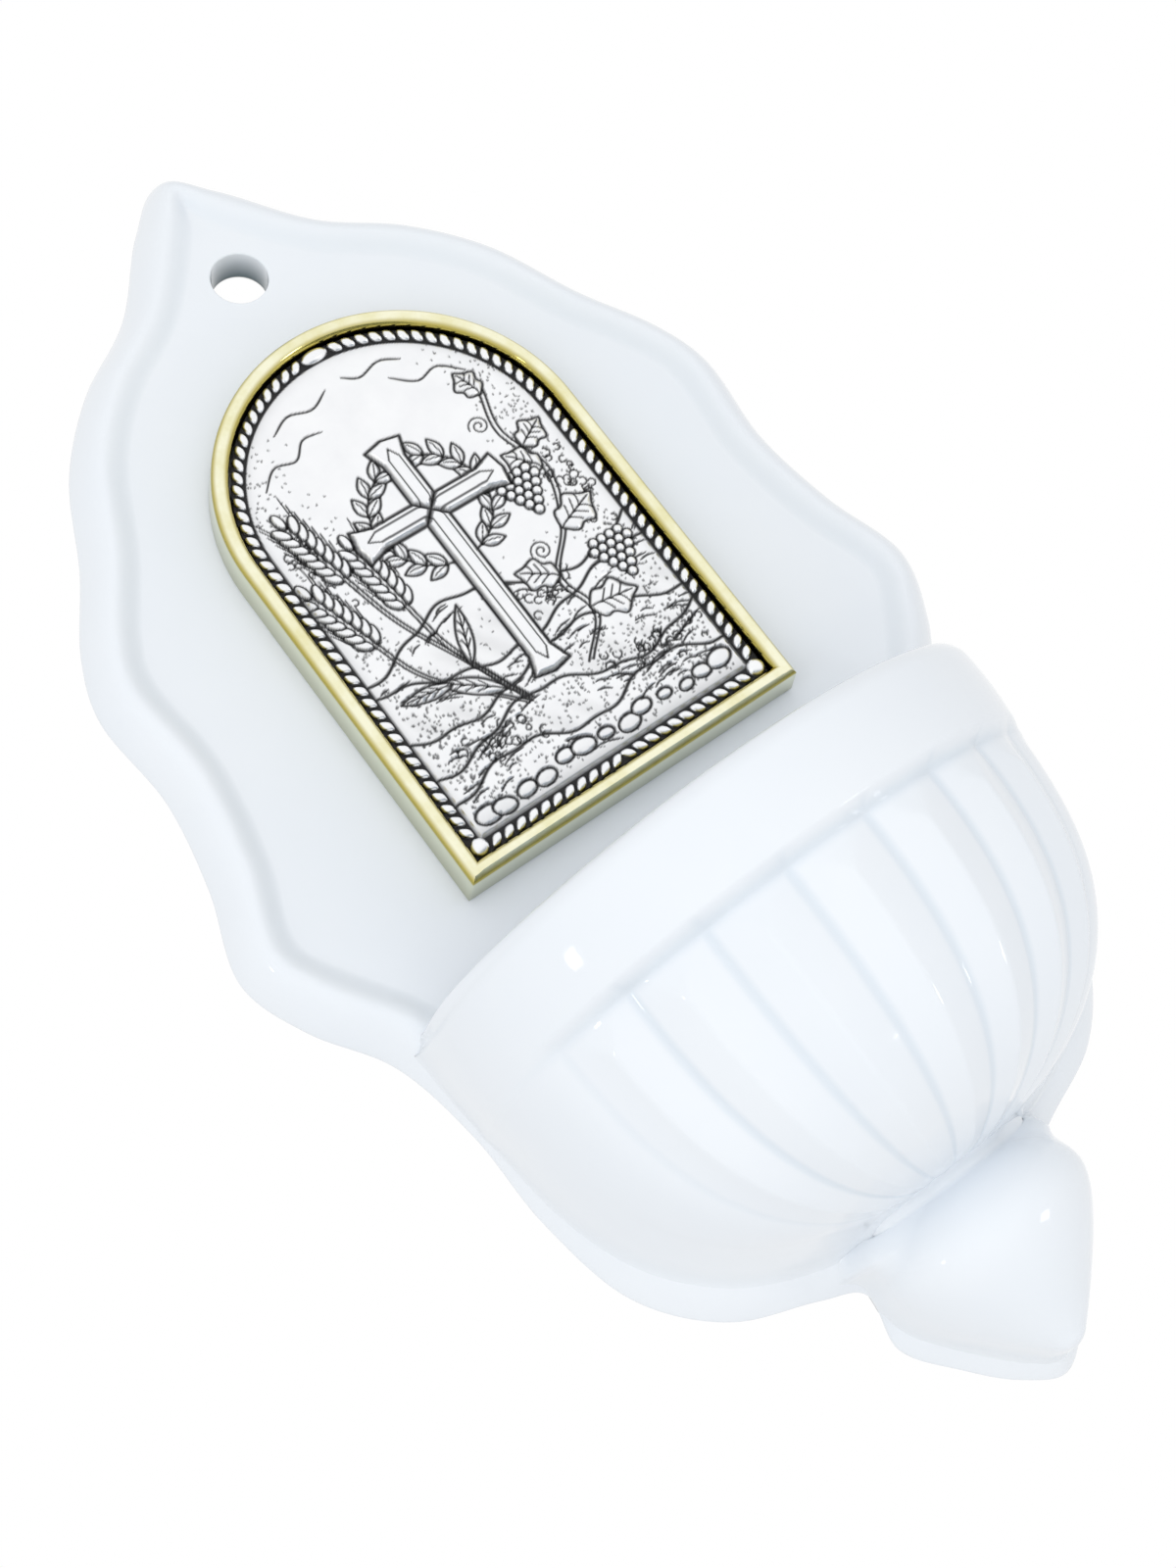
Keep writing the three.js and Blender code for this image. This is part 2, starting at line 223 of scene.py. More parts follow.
gilt = {
    "bright": (0.95, 0.935, 0.71),
    "deep": (0.83, 0.79, 0.46),
    "flank": (0.46, 0.38, 0.07),  # painted dark reflection on both sides of the roll
    # painted pale reflection of the plate on the outer wall
    "wall": (0.74, 0.76, 0.60),
    # dirt and painted shade on the inner wall along the sheet and at the outer wall's foot
    "tarnishAndShade": (0.10, 0.085, 0.015),
    "gloss": 0.07,
}


def makeGilt():
    material, nodes, links, shader = newMaterial("gilt_metal")
    cloud = noiseNode(nodes, links, 220, 4, 0.6)
    colour = rampNode(nodes, links, cloud.outputs["Fac"], [(0.3, gilt["deep"]), (0.6, gilt["bright"])]).outputs["Color"]
    # painted dark and pale reflections, and dirt with painted shade, by place on the frame
    for name in ("flank", "wall", "tarnishAndShade"):
        share = addNode(nodes, "ShaderNodeAttribute", attribute_name=name)
        colour = mixColour(nodes, links, share.outputs["Fac"], colour, gilt[name])
    links.new(colour, shader.inputs["Base Color"])
    rub = noiseNode(nodes, links, 1500, 3, 0.7)
    links.new(rangeNode(nodes, links, rub.outputs["Fac"], 0.3, 0.8, gilt["gloss"] * 0.7, gilt["gloss"] * 1.6),
              shader.inputs["Roughness"])
    shader.inputs["Metallic"].default_value = 1
    return material


silver = {
    "bright": (0.97, 0.98, 0.995),
    "dull": (0.92, 0.93, 0.95),
    "patinaAndShade": (0.012, 0.012, 0.013),
    "gloss": 0.3,
}


def makeSilver():
    material, nodes, links, shader = newMaterial("antique_silver")
    cloud = noiseNode(nodes, links, 260, 4, 0.55)
    metal = rampNode(nodes, links, cloud.outputs["Fac"], [(0.3, silver["dull"]), (0.65, silver["bright"])])
    # dark patina in the lines and dots, and painted shade on the hills and towards the sheet's foot
    dark = addNode(nodes, "ShaderNodeAttribute", attribute_name="patinaAndShade")
    links.new(mixColour(nodes, links, dark.outputs["Fac"], metal.outputs["Color"], silver["patinaAndShade"]),
              shader.inputs["Base Color"])
    links.new(rangeNode(nodes, links, dark.outputs["Fac"], 0, 1, silver["gloss"], 0.6),
              shader.inputs["Roughness"])
    links.new(rangeNode(nodes, links, dark.outputs["Fac"], 0.2, 1, 1, 0.2), shader.inputs["Metallic"])
    grain = noiseNode(nodes, links, 5200, 3, 0.6)
    bump = addNode(nodes, "ShaderNodeBump")
    bump.inputs["Strength"].default_value = 0.06
    bump.inputs["Distance"].default_value = 0.05 * mm
    links.new(grain.outputs["Fac"], bump.inputs["Height"])
    links.new(bump.outputs["Normal"], shader.inputs["Normal"])
    return material


board = {"light": (0.52, 0.41, 0.28), "dark": (0.36, 0.27, 0.17)}


def makeBoard():
    material, nodes, links, shader = newMaterial("fibreboard")
    fibre = noiseNode(nodes, links, 1400, 6, 0.7)
    ramp = rampNode(nodes, links, fibre.outputs["Fac"], [(0.35, board["dark"]), (0.65, board["light"])])
    links.new(ramp.outputs["Color"], shader.inputs["Base Color"])
    shader.inputs["Roughness"].default_value = 0.85
    return material


tape = {"foam": (0.90, 0.90, 0.87), "cell": (0.78, 0.78, 0.75)}


def makeTape():
    material, nodes, links, shader = newMaterial("foam_tape")
    place = addNode(nodes, "ShaderNodeTexCoord")
    cells = addNode(nodes, "ShaderNodeTexVoronoi")
    cells.inputs["Scale"].default_value = 2600
    links.new(place.outputs["Object"], cells.inputs["Vector"])
    ramp = rampNode(nodes, links, cells.outputs["Distance"], [(0.1, tape["cell"]), (0.5, tape["foam"])])
    links.new(ramp.outputs["Color"], shader.inputs["Base Color"])
    shader.inputs["Roughness"].default_value = 0.9
    return material


glazeMaterial = makeGlaze()
giltMaterial = makeGilt()
silverMaterial = makeSilver()
print("materials mixed")


# back plate: rings of its scalloped edge, drawn in step by step from the wall to the flat field

plate = {
    "thickness": 4.5,
    "borderRise": 1.0,
    "borderWidth": 6.2,
    "crestInset": 3.6,
    "flankPull": ((0.12, 0.62), (0.26, 1.0)),  # curve of the border's outer side, inwards and upwards
    "edgeRound": 1.2,
    "holeDiameter": 6.0,
    "holeHeight": 60.1,
    "holeLip": 0.2,
    "holeBackRound": 0.3,
    "boreShade": 1.0,
    "edgeTurns": (  # half width and height, from the tip down to the lobe behind the bud
        (0, 75.9), (5.2, 71.8), (12.2, 63.5), (19.8, 58.2), (26.2, 51.2), (31.2, 41.3), (35.9, 33.6),
        (38, 27.2), (37.3, 16.4), (38.8, 6.9), (41.5, -2.6), (39, -9.7), (34.2, -17), (32, -26.4),
        (31.4, -37), (28.7, -47.3), (22.6, -53.9), (14.8, -57.2), (10.9, -59.2), (11.5, -65),
        (7.9, -69.8), (3.9, -73.8), (0, -75.9)),
    "stepsPerTurn": 12,
    "edgeRings": 6,
    "flankRings": 14,
    "coveRings": 12,
    "holeSteps": 72,
}

bowl = {
    "axisDepth": 7.5,  # wall to the axis it is turned about
    "rimHeight": -16.9,
    "bellyRadius": 30.2,
    "bellyDrop": 27.6,
    "bellyFullness": 2.45,
    "neckRadius": 5.6,
    "collarStep": 1.3,
    "collarHeight": 8.8,
    "collarTaper": 0.3,
    "collarBarrel": 0.14,
    "collarRound": 1.6,
    "collarFootRise": 1.6,  # height of the swing from the belly out to the collar
    "lipRound": 2.1,
    "wall": 3.2,
    "floor": 4.6,
    "gadroonCount": 22,
    "gadroonDepth": 1.1,
    "capDepth": 0.6,  # of the groove over the gadroons
    "gadroonCap": 3.8,
    "gadroonFlatness": 3.6,
    "gadroonFade": 2.2,
    "gadroonTurn": -2.7,  # degrees
    "gadroonReach": 70,  # degrees from the front, the belly is plain from there to the plate
    "gadroonRunOut": 26,  # degrees over which the gadroons fade before that
    "stepRunOut": (8.0, 30.0),  # distance in front of the plate
    "stepFill": 3.2,
    # thick glaze and painted shade in the grooves and under the collar
    "groovePoolShade": 0.6,
    # thick glaze and painted shade in the crease where a piece meets the plate
    "creasePoolShade": 0.12,
    "grooveSoftness": 0.07,  # share of half a gadroon that the glaze fills
    "glazeFillet": 4.5,  # where bowl and plate meet
    "lipFillet": 0.5,
    "basinFillet": 2.0,
    "filletShare": 0.5,  # of the room that is left to the plate's edge
    "flareFrom": 8.5,  # distance in front of the plate where the wall starts to flare
    "flareShare": 0.3,  # of the fillet
    "landingSink": 0.1,
    "seatSink": 0.4,
    "backDepth": 2.0,
    "columns": 320,
    "seatColumns": 16,
    "bellyRows": 110,
    "capRows": 24,
}

collarRadius = bowl["bellyRadius"] + bowl["collarStep"]
lipFoot = bowl["rimHeight"] - bowl["lipRound"]
collarFoot = bowl["rimHeight"] - bowl["collarHeight"]
bellyTop = collarFoot - bowl["collarRound"]
neckAngle = math.acos((bowl["neckRadius"] / bowl["bellyRadius"]) ** (bowl["bellyFullness"] / 2))


def bellyHeight(radius):
    return bellyTop - bowl["bellyDrop"] * (1 - (radius / bowl["bellyRadius"]) ** bowl["bellyFullness"]) ** (
        1 / bowl["bellyFullness"])


neckHeight = bellyHeight(bowl["neckRadius"])


def borderShare(height):
    # full above the bowl, run out beside it
    return easeBetween(height, collarFoot, bowl["rimHeight"] + bowl["lipRound"])


def plateDepth(inset, height):
    # how far the front stands off the wall, at a distance from the edge and a height
    crest, width, round = plate["crestInset"], plate["borderWidth"], plate["edgeRound"]
    rise = plate["borderRise"] * borderShare(height)
    share = np.linspace(0, 1, 60)
    inward, up = (bezier(share, 0, *pull, 1) for pull in plate["flankPull"])
    flank = round + (plate["thickness"] + rise - round) * np.interp(inset / crest, inward, up)
    return np.where(inset < crest, flank, plate["thickness"] + rise * (1 - easeBetween(inset, crest, width)))


def throughTurns(turns, steps):
    # closed smooth curve through the turns (centripetal)
    before, start, end, after = np.roll(turns, 1, 0), turns, np.roll(turns, -1, 0), np.roll(turns, -2, 0)
    gap = lambda a, b: np.linalg.norm(b - a, axis=1, keepdims=True) ** 0.5
    gapBefore, gapHere, gapAfter = gap(before, start), gap(start, end), gap(end, after)
    leave = gapHere * ((start - before) / gapBefore - (end - before) / (gapBefore + gapHere) + (end - start) / gapHere)
    reach = gapHere * ((end - start) / gapHere - (after - start) / (gapHere + gapAfter) + (after - end) / gapAfter)
    t = (np.arange(steps) / steps)[None, :, None]
    a, b, c, d = start[:, None], leave[:, None], end[:, None], reach[:, None]
    curve = (a + b * t + (-3 * a + 3 * c - 2 * b - d) * t ** 2 + (2 * a - 2 * c + b + d) * t ** 3)
    return curve.reshape(-1, turns.shape[1])


def plateRing(insetAt, depthAt):
    half = np.array(plate["edgeTurns"], float)
    turns = np.vstack([half * (-1, 1), half[-2:0:-1]])
    along = np.roll(turns, -1, 0) - np.roll(turns, 1, 0)
    normal = np.stack([along[:, 1], -along[:, 0]], 1)
    normal /= np.linalg.norm(normal, axis=1, keepdims=True)
    drawnIn = turns - normal * insetAt(turns[:, 1])[:, None]
    curve = throughTurns(np.column_stack([drawnIn[:, 0], turns[:, 1], drawnIn[:, 1]]), plate["stepsPerTurn"])
    return np.column_stack([curve[:, 0], -depthAt(curve[:, 1]), curve[:, 2]])


def makePlate():
    field = plate["thickness"]
    level = lambda value: (lambda z: np.full_like(z, value))
    rings = []
    for angle in np.linspace(0, math.pi / 2, plate["edgeRings"] + 1):
        rings.append(plateRing(level(plate["edgeRound"] * (1 - math.sin(angle))),
                               level(plate["edgeRound"] * (1 - math.cos(angle)))))
    flank, cove = plate["crestInset"], plate["borderWidth"] - plate["crestInset"]
    insets = [flank * bezier(share, 0, *plate["flankPull"][0], 1) for share in np.linspace(0, 1, plate["flankRings"] + 1)]
    insets += [flank + cove * share for share in np.linspace(0, 1, plate["coveRings"] + 1)[1:]]
    for inset in insets[1:]:
        rings.append(plateRing(level(inset), lambda z: plateDepth(inset, z)))
    ringSize = len(rings[0])
    points = np.vstack(rings)
    faces = ringFaces(len(rings), ringSize)

    # hanging hole with a rounded lip in front
    bore = plate["holeDiameter"] / 2
    lip, back = plate["holeLip"], plate["holeBackRound"]
    section = [(bore + back - back * math.sin(a), back - back * math.cos(a)) for a in np.linspace(0, math.pi / 2, 4)]
    section += [(bore + lip - lip * math.cos(a), field - lip + lip * math.sin(a))
                for a in np.linspace(0, math.pi / 2, 8)]
    turn = np.linspace(0, 2 * math.pi, plate["holeSteps"], endpoint=False)
    holeStart = len(points)
    hole = [np.column_stack([r * np.cos(turn), np.full_like(turn, -d), plate["holeHeight"] + r * np.sin(turn)])
            for r, d in section]
    points = np.vstack([points] + hole)
    faces += [tuple(holeStart + i for i in face) for face in ringFaces(len(hole), plate["holeSteps"])]

    # flat field and flat back, each between the edge and the hole
    work = bmesh.new()
    verts = [work.verts.new(tuple(p * mm)) for p in points]
    work.verts.ensure_lookup_table()
    for face in faces:
        work.faces.new([verts[i] for i in face])
    lastRing, lastHole = (len(rings) - 1) * ringSize, holeStart + (len(hole) - 1) * plate["holeSteps"]
    for ringStart, holeRing in ((0, holeStart), (lastRing, lastHole)):
        loop = [verts[ringStart + i] for i in range(ringSize)]
        eye = [verts[holeRing + i] for i in range(plate["holeSteps"])]
        edges = [work.edges.get((a, b)) for ring in (loop, eye) for a, b in zip(ring, ring[1:] + ring[:1])]
        bmesh.ops.triangle_fill(work, use_beauty=True, edges=edges)
    faces = [[v.index for v in f.verts] for f in work.faces]
    work.verts.index_update()
    faces = [[v.index for v in f.verts] for f in work.faces]
    work.free()
    piece = makePiece("stoup_plate", points, faces, glazeMaterial)
    # the glaze runs thick at the foot of the border, and painted shade darkens it there
    hollow = np.zeros(len(points))
    coveStart = (plate["edgeRings"] + plate["flankRings"] + 1) * ringSize
    for i in range(plate["coveRings"]):
        share = (i + 1) / plate["coveRings"]
        ring = slice(coveStart + i * ringSize, coveStart + (i + 1) * ringSize)
        hollow[ring] = 0.2 * math.sin(math.pi * min(1, share ** 1.5)) * borderShare(points[ring, 2])
    storeShare(piece, "glazePoolShade", hollow)
    # painted shadow inside the hanging hole
    boreShadow = np.zeros(len(points))
    boreShadow[holeStart:] = np.repeat([1 - easeBetween(d, field - 0.6, field - 0.15) for r, d in section], plate["holeSteps"])
    storeShare(piece, "bore", plate["boreShade"] * boreShadow)
    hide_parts("back_plate")
    return piece


plateEdge = plateRing(np.zeros_like, np.zeros_like)[:, [0, 2]]
makePlate()
print("plate done")


# bowl and bud: turned about one upright axis, their backs seated on the plate

def insetOf(points):
    # distance of points from the plate's edge
    end = np.roll(plateEdge, -1, 0)
    along = end - plateEdge
    share = ((points[:, None] - plateEdge) * along).sum(2) / (along ** 2).sum(1)
    nearest = plateEdge + np.clip(share, 0, 1)[..., None] * along
    return np.linalg.norm(points[:, None] - nearest, axis=2).min(1)


def roomTowards(points, towards):
    # how far it is from points to the plate's edge in a direction
    along = np.roll(plateEdge, -1, 0) - plateEdge
    apart = plateEdge - points[:, None]
    turned = towards[:, None, 0] * along[:, 1] - towards[:, None, 1] * along[:, 0]
    turned = np.where(np.abs(turned) < 1e-9, 1e-9, turned)
    reach = (apart[..., 0] * along[:, 1] - apart[..., 1] * along[:, 0]) / turned
    share = (apart[..., 0] * towards[:, None, 1] - apart[..., 1] * towards[:, None, 0]) / turned
    return np.where((share >= 0) & (share <= 1) & (reach > 0), reach, 99).min(1)


def seatedTurning(name, profile, fillets, shapeAt, replaced):
    # profile: radius and height from the lower end to the upper end, air on its right-hand side
    radius, height = np.asarray(profile, float).T[..., None]
    depth, field = bowl["axisDepth"], plate["thickness"]
    front = np.linspace(-math.pi / 2, math.pi / 2, bowl["columns"])
    hollow, glazePoolShade = shapeAt(front, radius, height, depth - field + radius * np.cos(front))
    turned = radius - hollow

    # room for the fillet on each row, square to the profile
    start = np.column_stack([turned[:, -1], height[:, 0]])
    along = np.gradient(start, axis=0)
    out = np.column_stack([np.where(start[:, 0] > 1e-6, along[:, 1], 0), -along[:, 0]])
    out /= np.linalg.norm(out, axis=1, keepdims=True) + 1e-9
    room = roomTowards(start, out)
    swing = np.where(room < 90, np.minimum(fillets, bowl["filletShare"] * room), 0)

    # the wall flares a little before it gets to the plate
    stand, flareLength = depth - field, bowl["flareFrom"] - (depth - field)
    flare = np.clip((bowl["flareFrom"] - stand - turned * np.cos(front)) / flareLength, 0, 1) ** 2
    flare = flare * bowl["flareShare"] * swing[:, None]
    reach = turned + flare * out[:, :1]
    x, y, z = reach * np.sin(front), -depth - reach * np.cos(front), height + flare * out[:, 1:]

    # from the widest line it swings out on to the plate
    meets = lambda way: plateDepth(insetOf(start + out * way[:, None]), start[:, 1] + out[:, 1] * way)
    landing = meets(swing)
    slope = np.minimum(landing - meets(swing - 0.1), 0) / 0.1
    landing = landing - bowl["landingSink"]
    first = bowl["flareShare"] * swing
    lean = first + 2 * first / flareLength * 0.5 * (depth - landing)
    share = np.linspace(0, 1, bowl["seatColumns"] + 1)[1:]
    wayOut = bezier(share, first[:, None], lean[:, None], (0.6 * swing)[:, None], swing[:, None])
    wayDown = bezier(share, depth, (depth - 0.5 * (depth - landing))[:, None],
                     (landing - 0.4 * swing * slope)[:, None], landing[:, None])
    # and on into the plate, where its flat back lies
    wayOut = np.column_stack([wayOut, swing, np.full_like(swing, -0.5)])
    wayDown = np.column_stack([wayDown, landing - bowl["seatSink"], np.full_like(swing, bowl["backDepth"])])
    sideX, sideY, sideZ = start[:, :1] + wayOut * out[:, :1], -wayDown, height + wayOut * out[:, 1:]
    # thick glaze and painted shade along the crease where the piece meets the plate
    sidePoolShade = bowl["creasePoolShade"] * np.sin(math.pi * np.linspace(0, 1, sideX.shape[1])) ** 2 * (fillets[:, None] > 0)
    x = np.hstack([-sideX[:, ::-1], x, sideX])
    y = np.hstack([sideY[:, ::-1], y, sideY])
    z = np.hstack([sideZ[:, ::-1], z, sideZ])
    glazePoolShade = np.hstack([sidePoolShade[:, ::-1], np.broadcast_to(glazePoolShade, turned.shape), sidePoolShade])
    points = np.column_stack([x.ravel(), y.ravel(), z.ravel()])
    piece = makePiece(name, points, ringFaces(*x.shape, closedRing=False), glazeMaterial)
    storeShare(piece, "glazePoolShade", glazePoolShade.ravel())
    work = bmesh.new()
    work.from_mesh(piece.data)
    bmesh.ops.remove_doubles(work, verts=work.verts, dist=0.002 * mm)
    bmesh.ops.holes_fill(work, edges=[e for e in work.edges if e.is_boundary])
    bmesh.ops.recalc_face_normals(work, faces=work.faces)
    for face in work.faces:
        face.smooth = True
    work.to_mesh(piece.data)
    work.free()
    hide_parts(replaced)
    return piece


def gadroonShape(angle, radius, height, stand):
    # nothing on the crest of a gadroon, full depth in the groove beside it and less over its rounded top
    drop = np.maximum(bellyTop - height, 0)
    depth, cap, flat = bowl["gadroonDepth"], bowl["capDepth"], bowl["gadroonFlatness"]
    turns = (angle - math.radians(bowl["gadroonTurn"])) * bowl["gadroonCount"] / (2 * math.pi)
    across = 2 * np.abs(turns - np.round(turns))
    soft = bowl["grooveSoftness"]
    across = np.maximum(0, across + 1 - np.sqrt((across - 1) ** 2 + soft ** 2)) / 2  # a rounded groove
    upward = 1 - easeBetween(drop, 0, bowl["gadroonCap"])
    narrow = np.minimum(1, bowl["gadroonFade"] * radius / bowl["bellyRadius"])
    belly = 1 - easeBetween(height, bellyTop, bellyTop + bowl["collarFootRise"])  # nothing on the collar
    shown = easeBetween(bowl["gadroonReach"] - np.abs(np.degrees(angle)), 0, bowl["gadroonRunOut"])
    hollow = ((depth * across) ** flat + (cap * upward) ** flat) ** (1 / flat) * narrow * belly
    # beside the plate clay fills the step under the collar
    fill = np.maximum(collarRadius - bowl["collarTaper"] - radius, 0) * np.exp(-drop / bowl["stepFill"])
    fill = fill * (1 - easeBetween(stand, *bowl["stepRunOut"])) * (radius > bowl["bellyRadius"] / 2)
    # painted shade under the collar, and thick glaze with painted shade in the grooves
    under = np.exp(-((height - bellyTop - 0.2) / 0.5) ** 2) * easeBetween(stand, *bowl["stepRunOut"])
    glazePoolShade = bowl["groovePoolShade"] * np.maximum(easeBetween(across, 0.8, 0.95) * narrow * belly * shown, under)
    return hollow * shown - fill, glazePoolShade


def makeBowl():
    fullness = bowl["bellyFullness"]
    capAngle = math.asin((bowl["gadroonCap"] / bowl["bellyDrop"]) ** (fullness / 2))
    angles = np.concatenate([np.linspace(neckAngle, capAngle, bowl["bellyRows"], endpoint=False),
                             np.linspace(capAngle, 0, bowl["capRows"])])
    beltR, beltDrop = quarterCurve(bowl["bellyRadius"], bowl["bellyDrop"], fullness, angles)
    outside = [(r, neckHeight) for r in np.linspace(0, bowl["neckRadius"], 8)[:-1]]
    outside += list(zip(beltR, bellyTop - beltDrop))
    footRadius = collarRadius - bowl["collarTaper"]
    for s in np.linspace(0, 1, 20)[1:]:
        r = bowl["bellyRadius"] + (footRadius - bowl["bellyRadius"]) * easeBetween(s, 0, 1)
        outside.append((r, bellyTop + bowl["collarFootRise"] * s))
    wallFoot = outside[-1][1]
    lip, mouth = bowl["lipRound"], bowl["bellyRadius"] - bowl["wall"]
    outside += [(footRadius + (collarRadius - footRadius) * s + 4 * bowl["collarBarrel"] * s * (1 - s),
                 wallFoot + (lipFoot - wallFoot) * s)
                for s in np.linspace(0, 1, 14)[1:-1]]
    outside += arcPoints(collarRadius - lip, lipFoot, lip, 0, math.pi / 2, 14)
    inside = arcPoints(mouth + lip, lipFoot, lip, math.pi / 2, math.pi, 14)
    depth = lipFoot - neckHeight - bowl["floor"]
    innerR, innerDrop = quarterCurve(mouth, depth, fullness, np.linspace(0, math.pi / 2, 64)[1:])
    inside += list(zip(innerR, lipFoot - innerDrop))
    fillets = np.concatenate([np.full(len(outside), bowl["glazeFillet"]), np.full(len(inside), bowl["basinFillet"])])
    fillets[len(outside) - 14:len(outside) + 14] = bowl["lipFillet"]
    fillets = np.convolve(np.pad(fillets, 8, mode="edge"), np.full(17, 1 / 17), mode="valid")

    def shapeAt(angle, radius, height, stand):
        hollow, glazePoolShade = gadroonShape(angle, radius, height, stand)
        hollow[len(outside):] = glazePoolShade[len(outside):] = 0
        return hollow, glazePoolShade

    return seatedTurning("stoup_bowl", outside + inside, fillets, shapeAt, "bowl")


makeBowl()
print("bowl done")

bud = {
    "radius": 10.8,
    "widestHeight": -60.9,
    "tipHeight": -73.5,
    "cheekDrop": 3.4,
    "tipRound": 2.2,
    "domeRise": 5.7,  # from the widest line to the flat top
    "domeFlat": 3.4,  # radius of that top
    "domeTurn": 62,  # degrees from the widest line up to where the neck starts
    "neckMeets": 8.4,  # radius at which the filled neck runs into the bowl
    "neckSink": 0.3,
    "web": 2.4,
    "webStand": (3.0, 8.0),  # distance in front of the plate
    "glazeFillet": 3.0,
}


def makeBud():
    widest, tipCentre = bud["widestHeight"], bud["tipHeight"] + bud["tipRound"]
    lean = math.atan2(bud["radius"] - bud["tipRound"], widest - tipCentre)
    profile = arcPoints(0, tipCentre, bud["tipRound"], -math.pi / 2, -lean, 14)
    startR, startZ = profile[-1]
    for s in np.linspace(0, 1, 40)[1:]:
        profile.append((startR * (1 - s) ** 2 + bud["radius"] * (1 - (1 - s) ** 2),
                        bezier(s, startZ, startZ / 3 + (widest - bud["cheekDrop"]) * 2 / 3,
                               widest / 3 + (widest - bud["cheekDrop"]) * 2 / 3, widest)))
    swell = bud["radius"] - bud["domeFlat"]
    turns = np.radians(np.linspace(0, bud["domeTurn"], 24)[1:])
    profile += [(bud["domeFlat"] + swell * math.cos(turn), widest + bud["domeRise"] * math.sin(turn)) for turn in turns]
    # a filled neck swings from the dome out to the underside of the bowl
    startR, startZ = profile[-1]
    endR, endZ = bud["neckMeets"], bellyHeight(bud["neckMeets"]) + bud["neckSink"]
    reach = (endZ - startZ) * 0.5
    way = np.array([-swell * math.sin(turns[-1]), bud["domeRise"] * math.cos(turns[-1])])
    way *= reach / np.linalg.norm(way)
    for s in np.linspace(0, 1, 16)[1:]:
        profile.append((bezier(s, startR, startR + way[0], endR - 2 * reach, endR),
                        bezier(s, startZ, startZ + way[1], endZ - 0.4 * reach, endZ)))
    outside = len(profile) - 1
    profile += [(r, endZ + 0.3) for r in np.linspace(endR - 0.3, 0, 9)]
    fillets = np.full(len(profile), bud["glazeFillet"])
    fillets[outside - 15:outside] *= np.linspace(1, 0.3, 15)
    fillets[outside:] = 0

    def shapeAt(angle, radius, height, stand):
        # beside the plate clay fills the corner under the bowl
        near = 1 - easeBetween(stand, *bud["webStand"])
        web = bud["web"] * near * easeBetween(height, widest + 1.5, widest + bud["domeRise"])
        web[outside:] = 0
        return -web, np.zeros_like(stand)

    return seatedTurning("stoup_bud", profile, fillets, shapeAt, "bud")


makeBud()
print("bud done")


# plaque frame: a polished roll on a plain wall, led round the arch

plaque = {
    "width": 40.0,
    "height": 58.0,
    "foot": -8.5,
    "frameBack": 4.6,
    "frameHeight": 4.4,
    "frameWidth": 2.0,
    "wallLean": 0.25,  # of the frame's outer wall
    # strength of the painted dark reflection on the roll's sides
    "flankDarkReflection": 0.95,
    "wallFootDirtShade": 0.35,  # dirt and painted shade at its foot
    "archSteps": 128,
    "sideSteps": 40,
    "sheetInset": 2.2,
    "sheetBack": 7.2,
    "sheetFront": 7.7,
}


def archRing(inset, depth):
    # along the foot, up the right side, round the arch and down the left side
    radius = plaque["width"] / 2 - inset
    spring = plaque["foot"] + plaque["height"] - plaque["width"] / 2
    low = plaque["foot"] + inset
    side = np.linspace(low, spring, plaque["sideSteps"], endpoint=False)
    turn = np.linspace(0, math.pi, plaque["archSteps"] + 1)
    across = np.linspace(-radius, radius, plaque["sideSteps"], endpoint=False)
    x = np.concatenate([across, np.full(len(side), radius), radius * np.cos(turn), np.full(len(side) - 1, -radius)])
    z = np.concatenate([np.full(len(across), low), side, spring + radius * np.sin(turn), side[:0:-1]])
    return np.column_stack([x, np.full(len(x), -depth), z])


def makeFrame():
    back, width, lean = plaque["frameBack"], plaque["frameWidth"], plaque["wallLean"]
    front = back + plaque["frameHeight"]
    roll = (width - lean) / 2
    section = [(width, back), (0.12, back)]
    section += [(lean * s, back + 0.12 + (front - roll - back - 0.12) * s) for s in np.linspace(0, 1, 9)[:-1]]
    section += [(lean + roll - roll * math.cos(a), front - roll + roll * math.sin(a))
                for a in np.linspace(0, math.pi, 33)]
    section += [(width, front - roll - s) for s in (0.2, 0.4, 0.7, 1.1, 1.5)]
    rings = [archRing(inset, depth) for inset, depth in section]
    ringSize = len(rings[0])
    points = np.vstack(rings)
    faces = ringFaces(len(rings), ringSize)
    last = (len(rings) - 1) * ringSize
    faces += [(last + i, last + (i + 1) % ringSize, (i + 1) % ringSize, i) for i in range(ringSize)]
    piece = makePiece("gilt_frame", points, faces, giltMaterial, sharpAngle=35)
    # the roll stays pale gold on top, painted dark reflections cover its sides and a painted pale reflection the outer
    # wall, and dirt with painted shade darkens the inner wall along the sheet and the outer wall's foot
    shares = {"flank": [], "wall": [], "tarnishAndShade": []}
    for inset, depth in section:
        aside = (inset - lean - roll) / roll
        low = front - depth
        shares["flank"].append(plaque["flankDarkReflection"] * easeBetween(abs(aside), 0.3, 0.9))
        shares["wall"].append((inset < lean + roll) * easeBetween(low, roll - 0.25, roll + 0.05))
        inner = 0.95 * (inset > lean + roll) * easeBetween(low, roll - 0.35, roll + 0.3)
        shares["tarnishAndShade"].append(max(inner, plaque["wallFootDirtShade"] * (inset < lean + roll) * easeBetween(low, roll, 4.4)))
    for name, values in shares.items():
        storeShare(piece, name, np.repeat(values, ringSize))
    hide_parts("plaque_frame")
    return piece


makeFrame()
print("frame done")


# silver sheet: rope border and a generic relief, a cross over hills between wheat and a vine

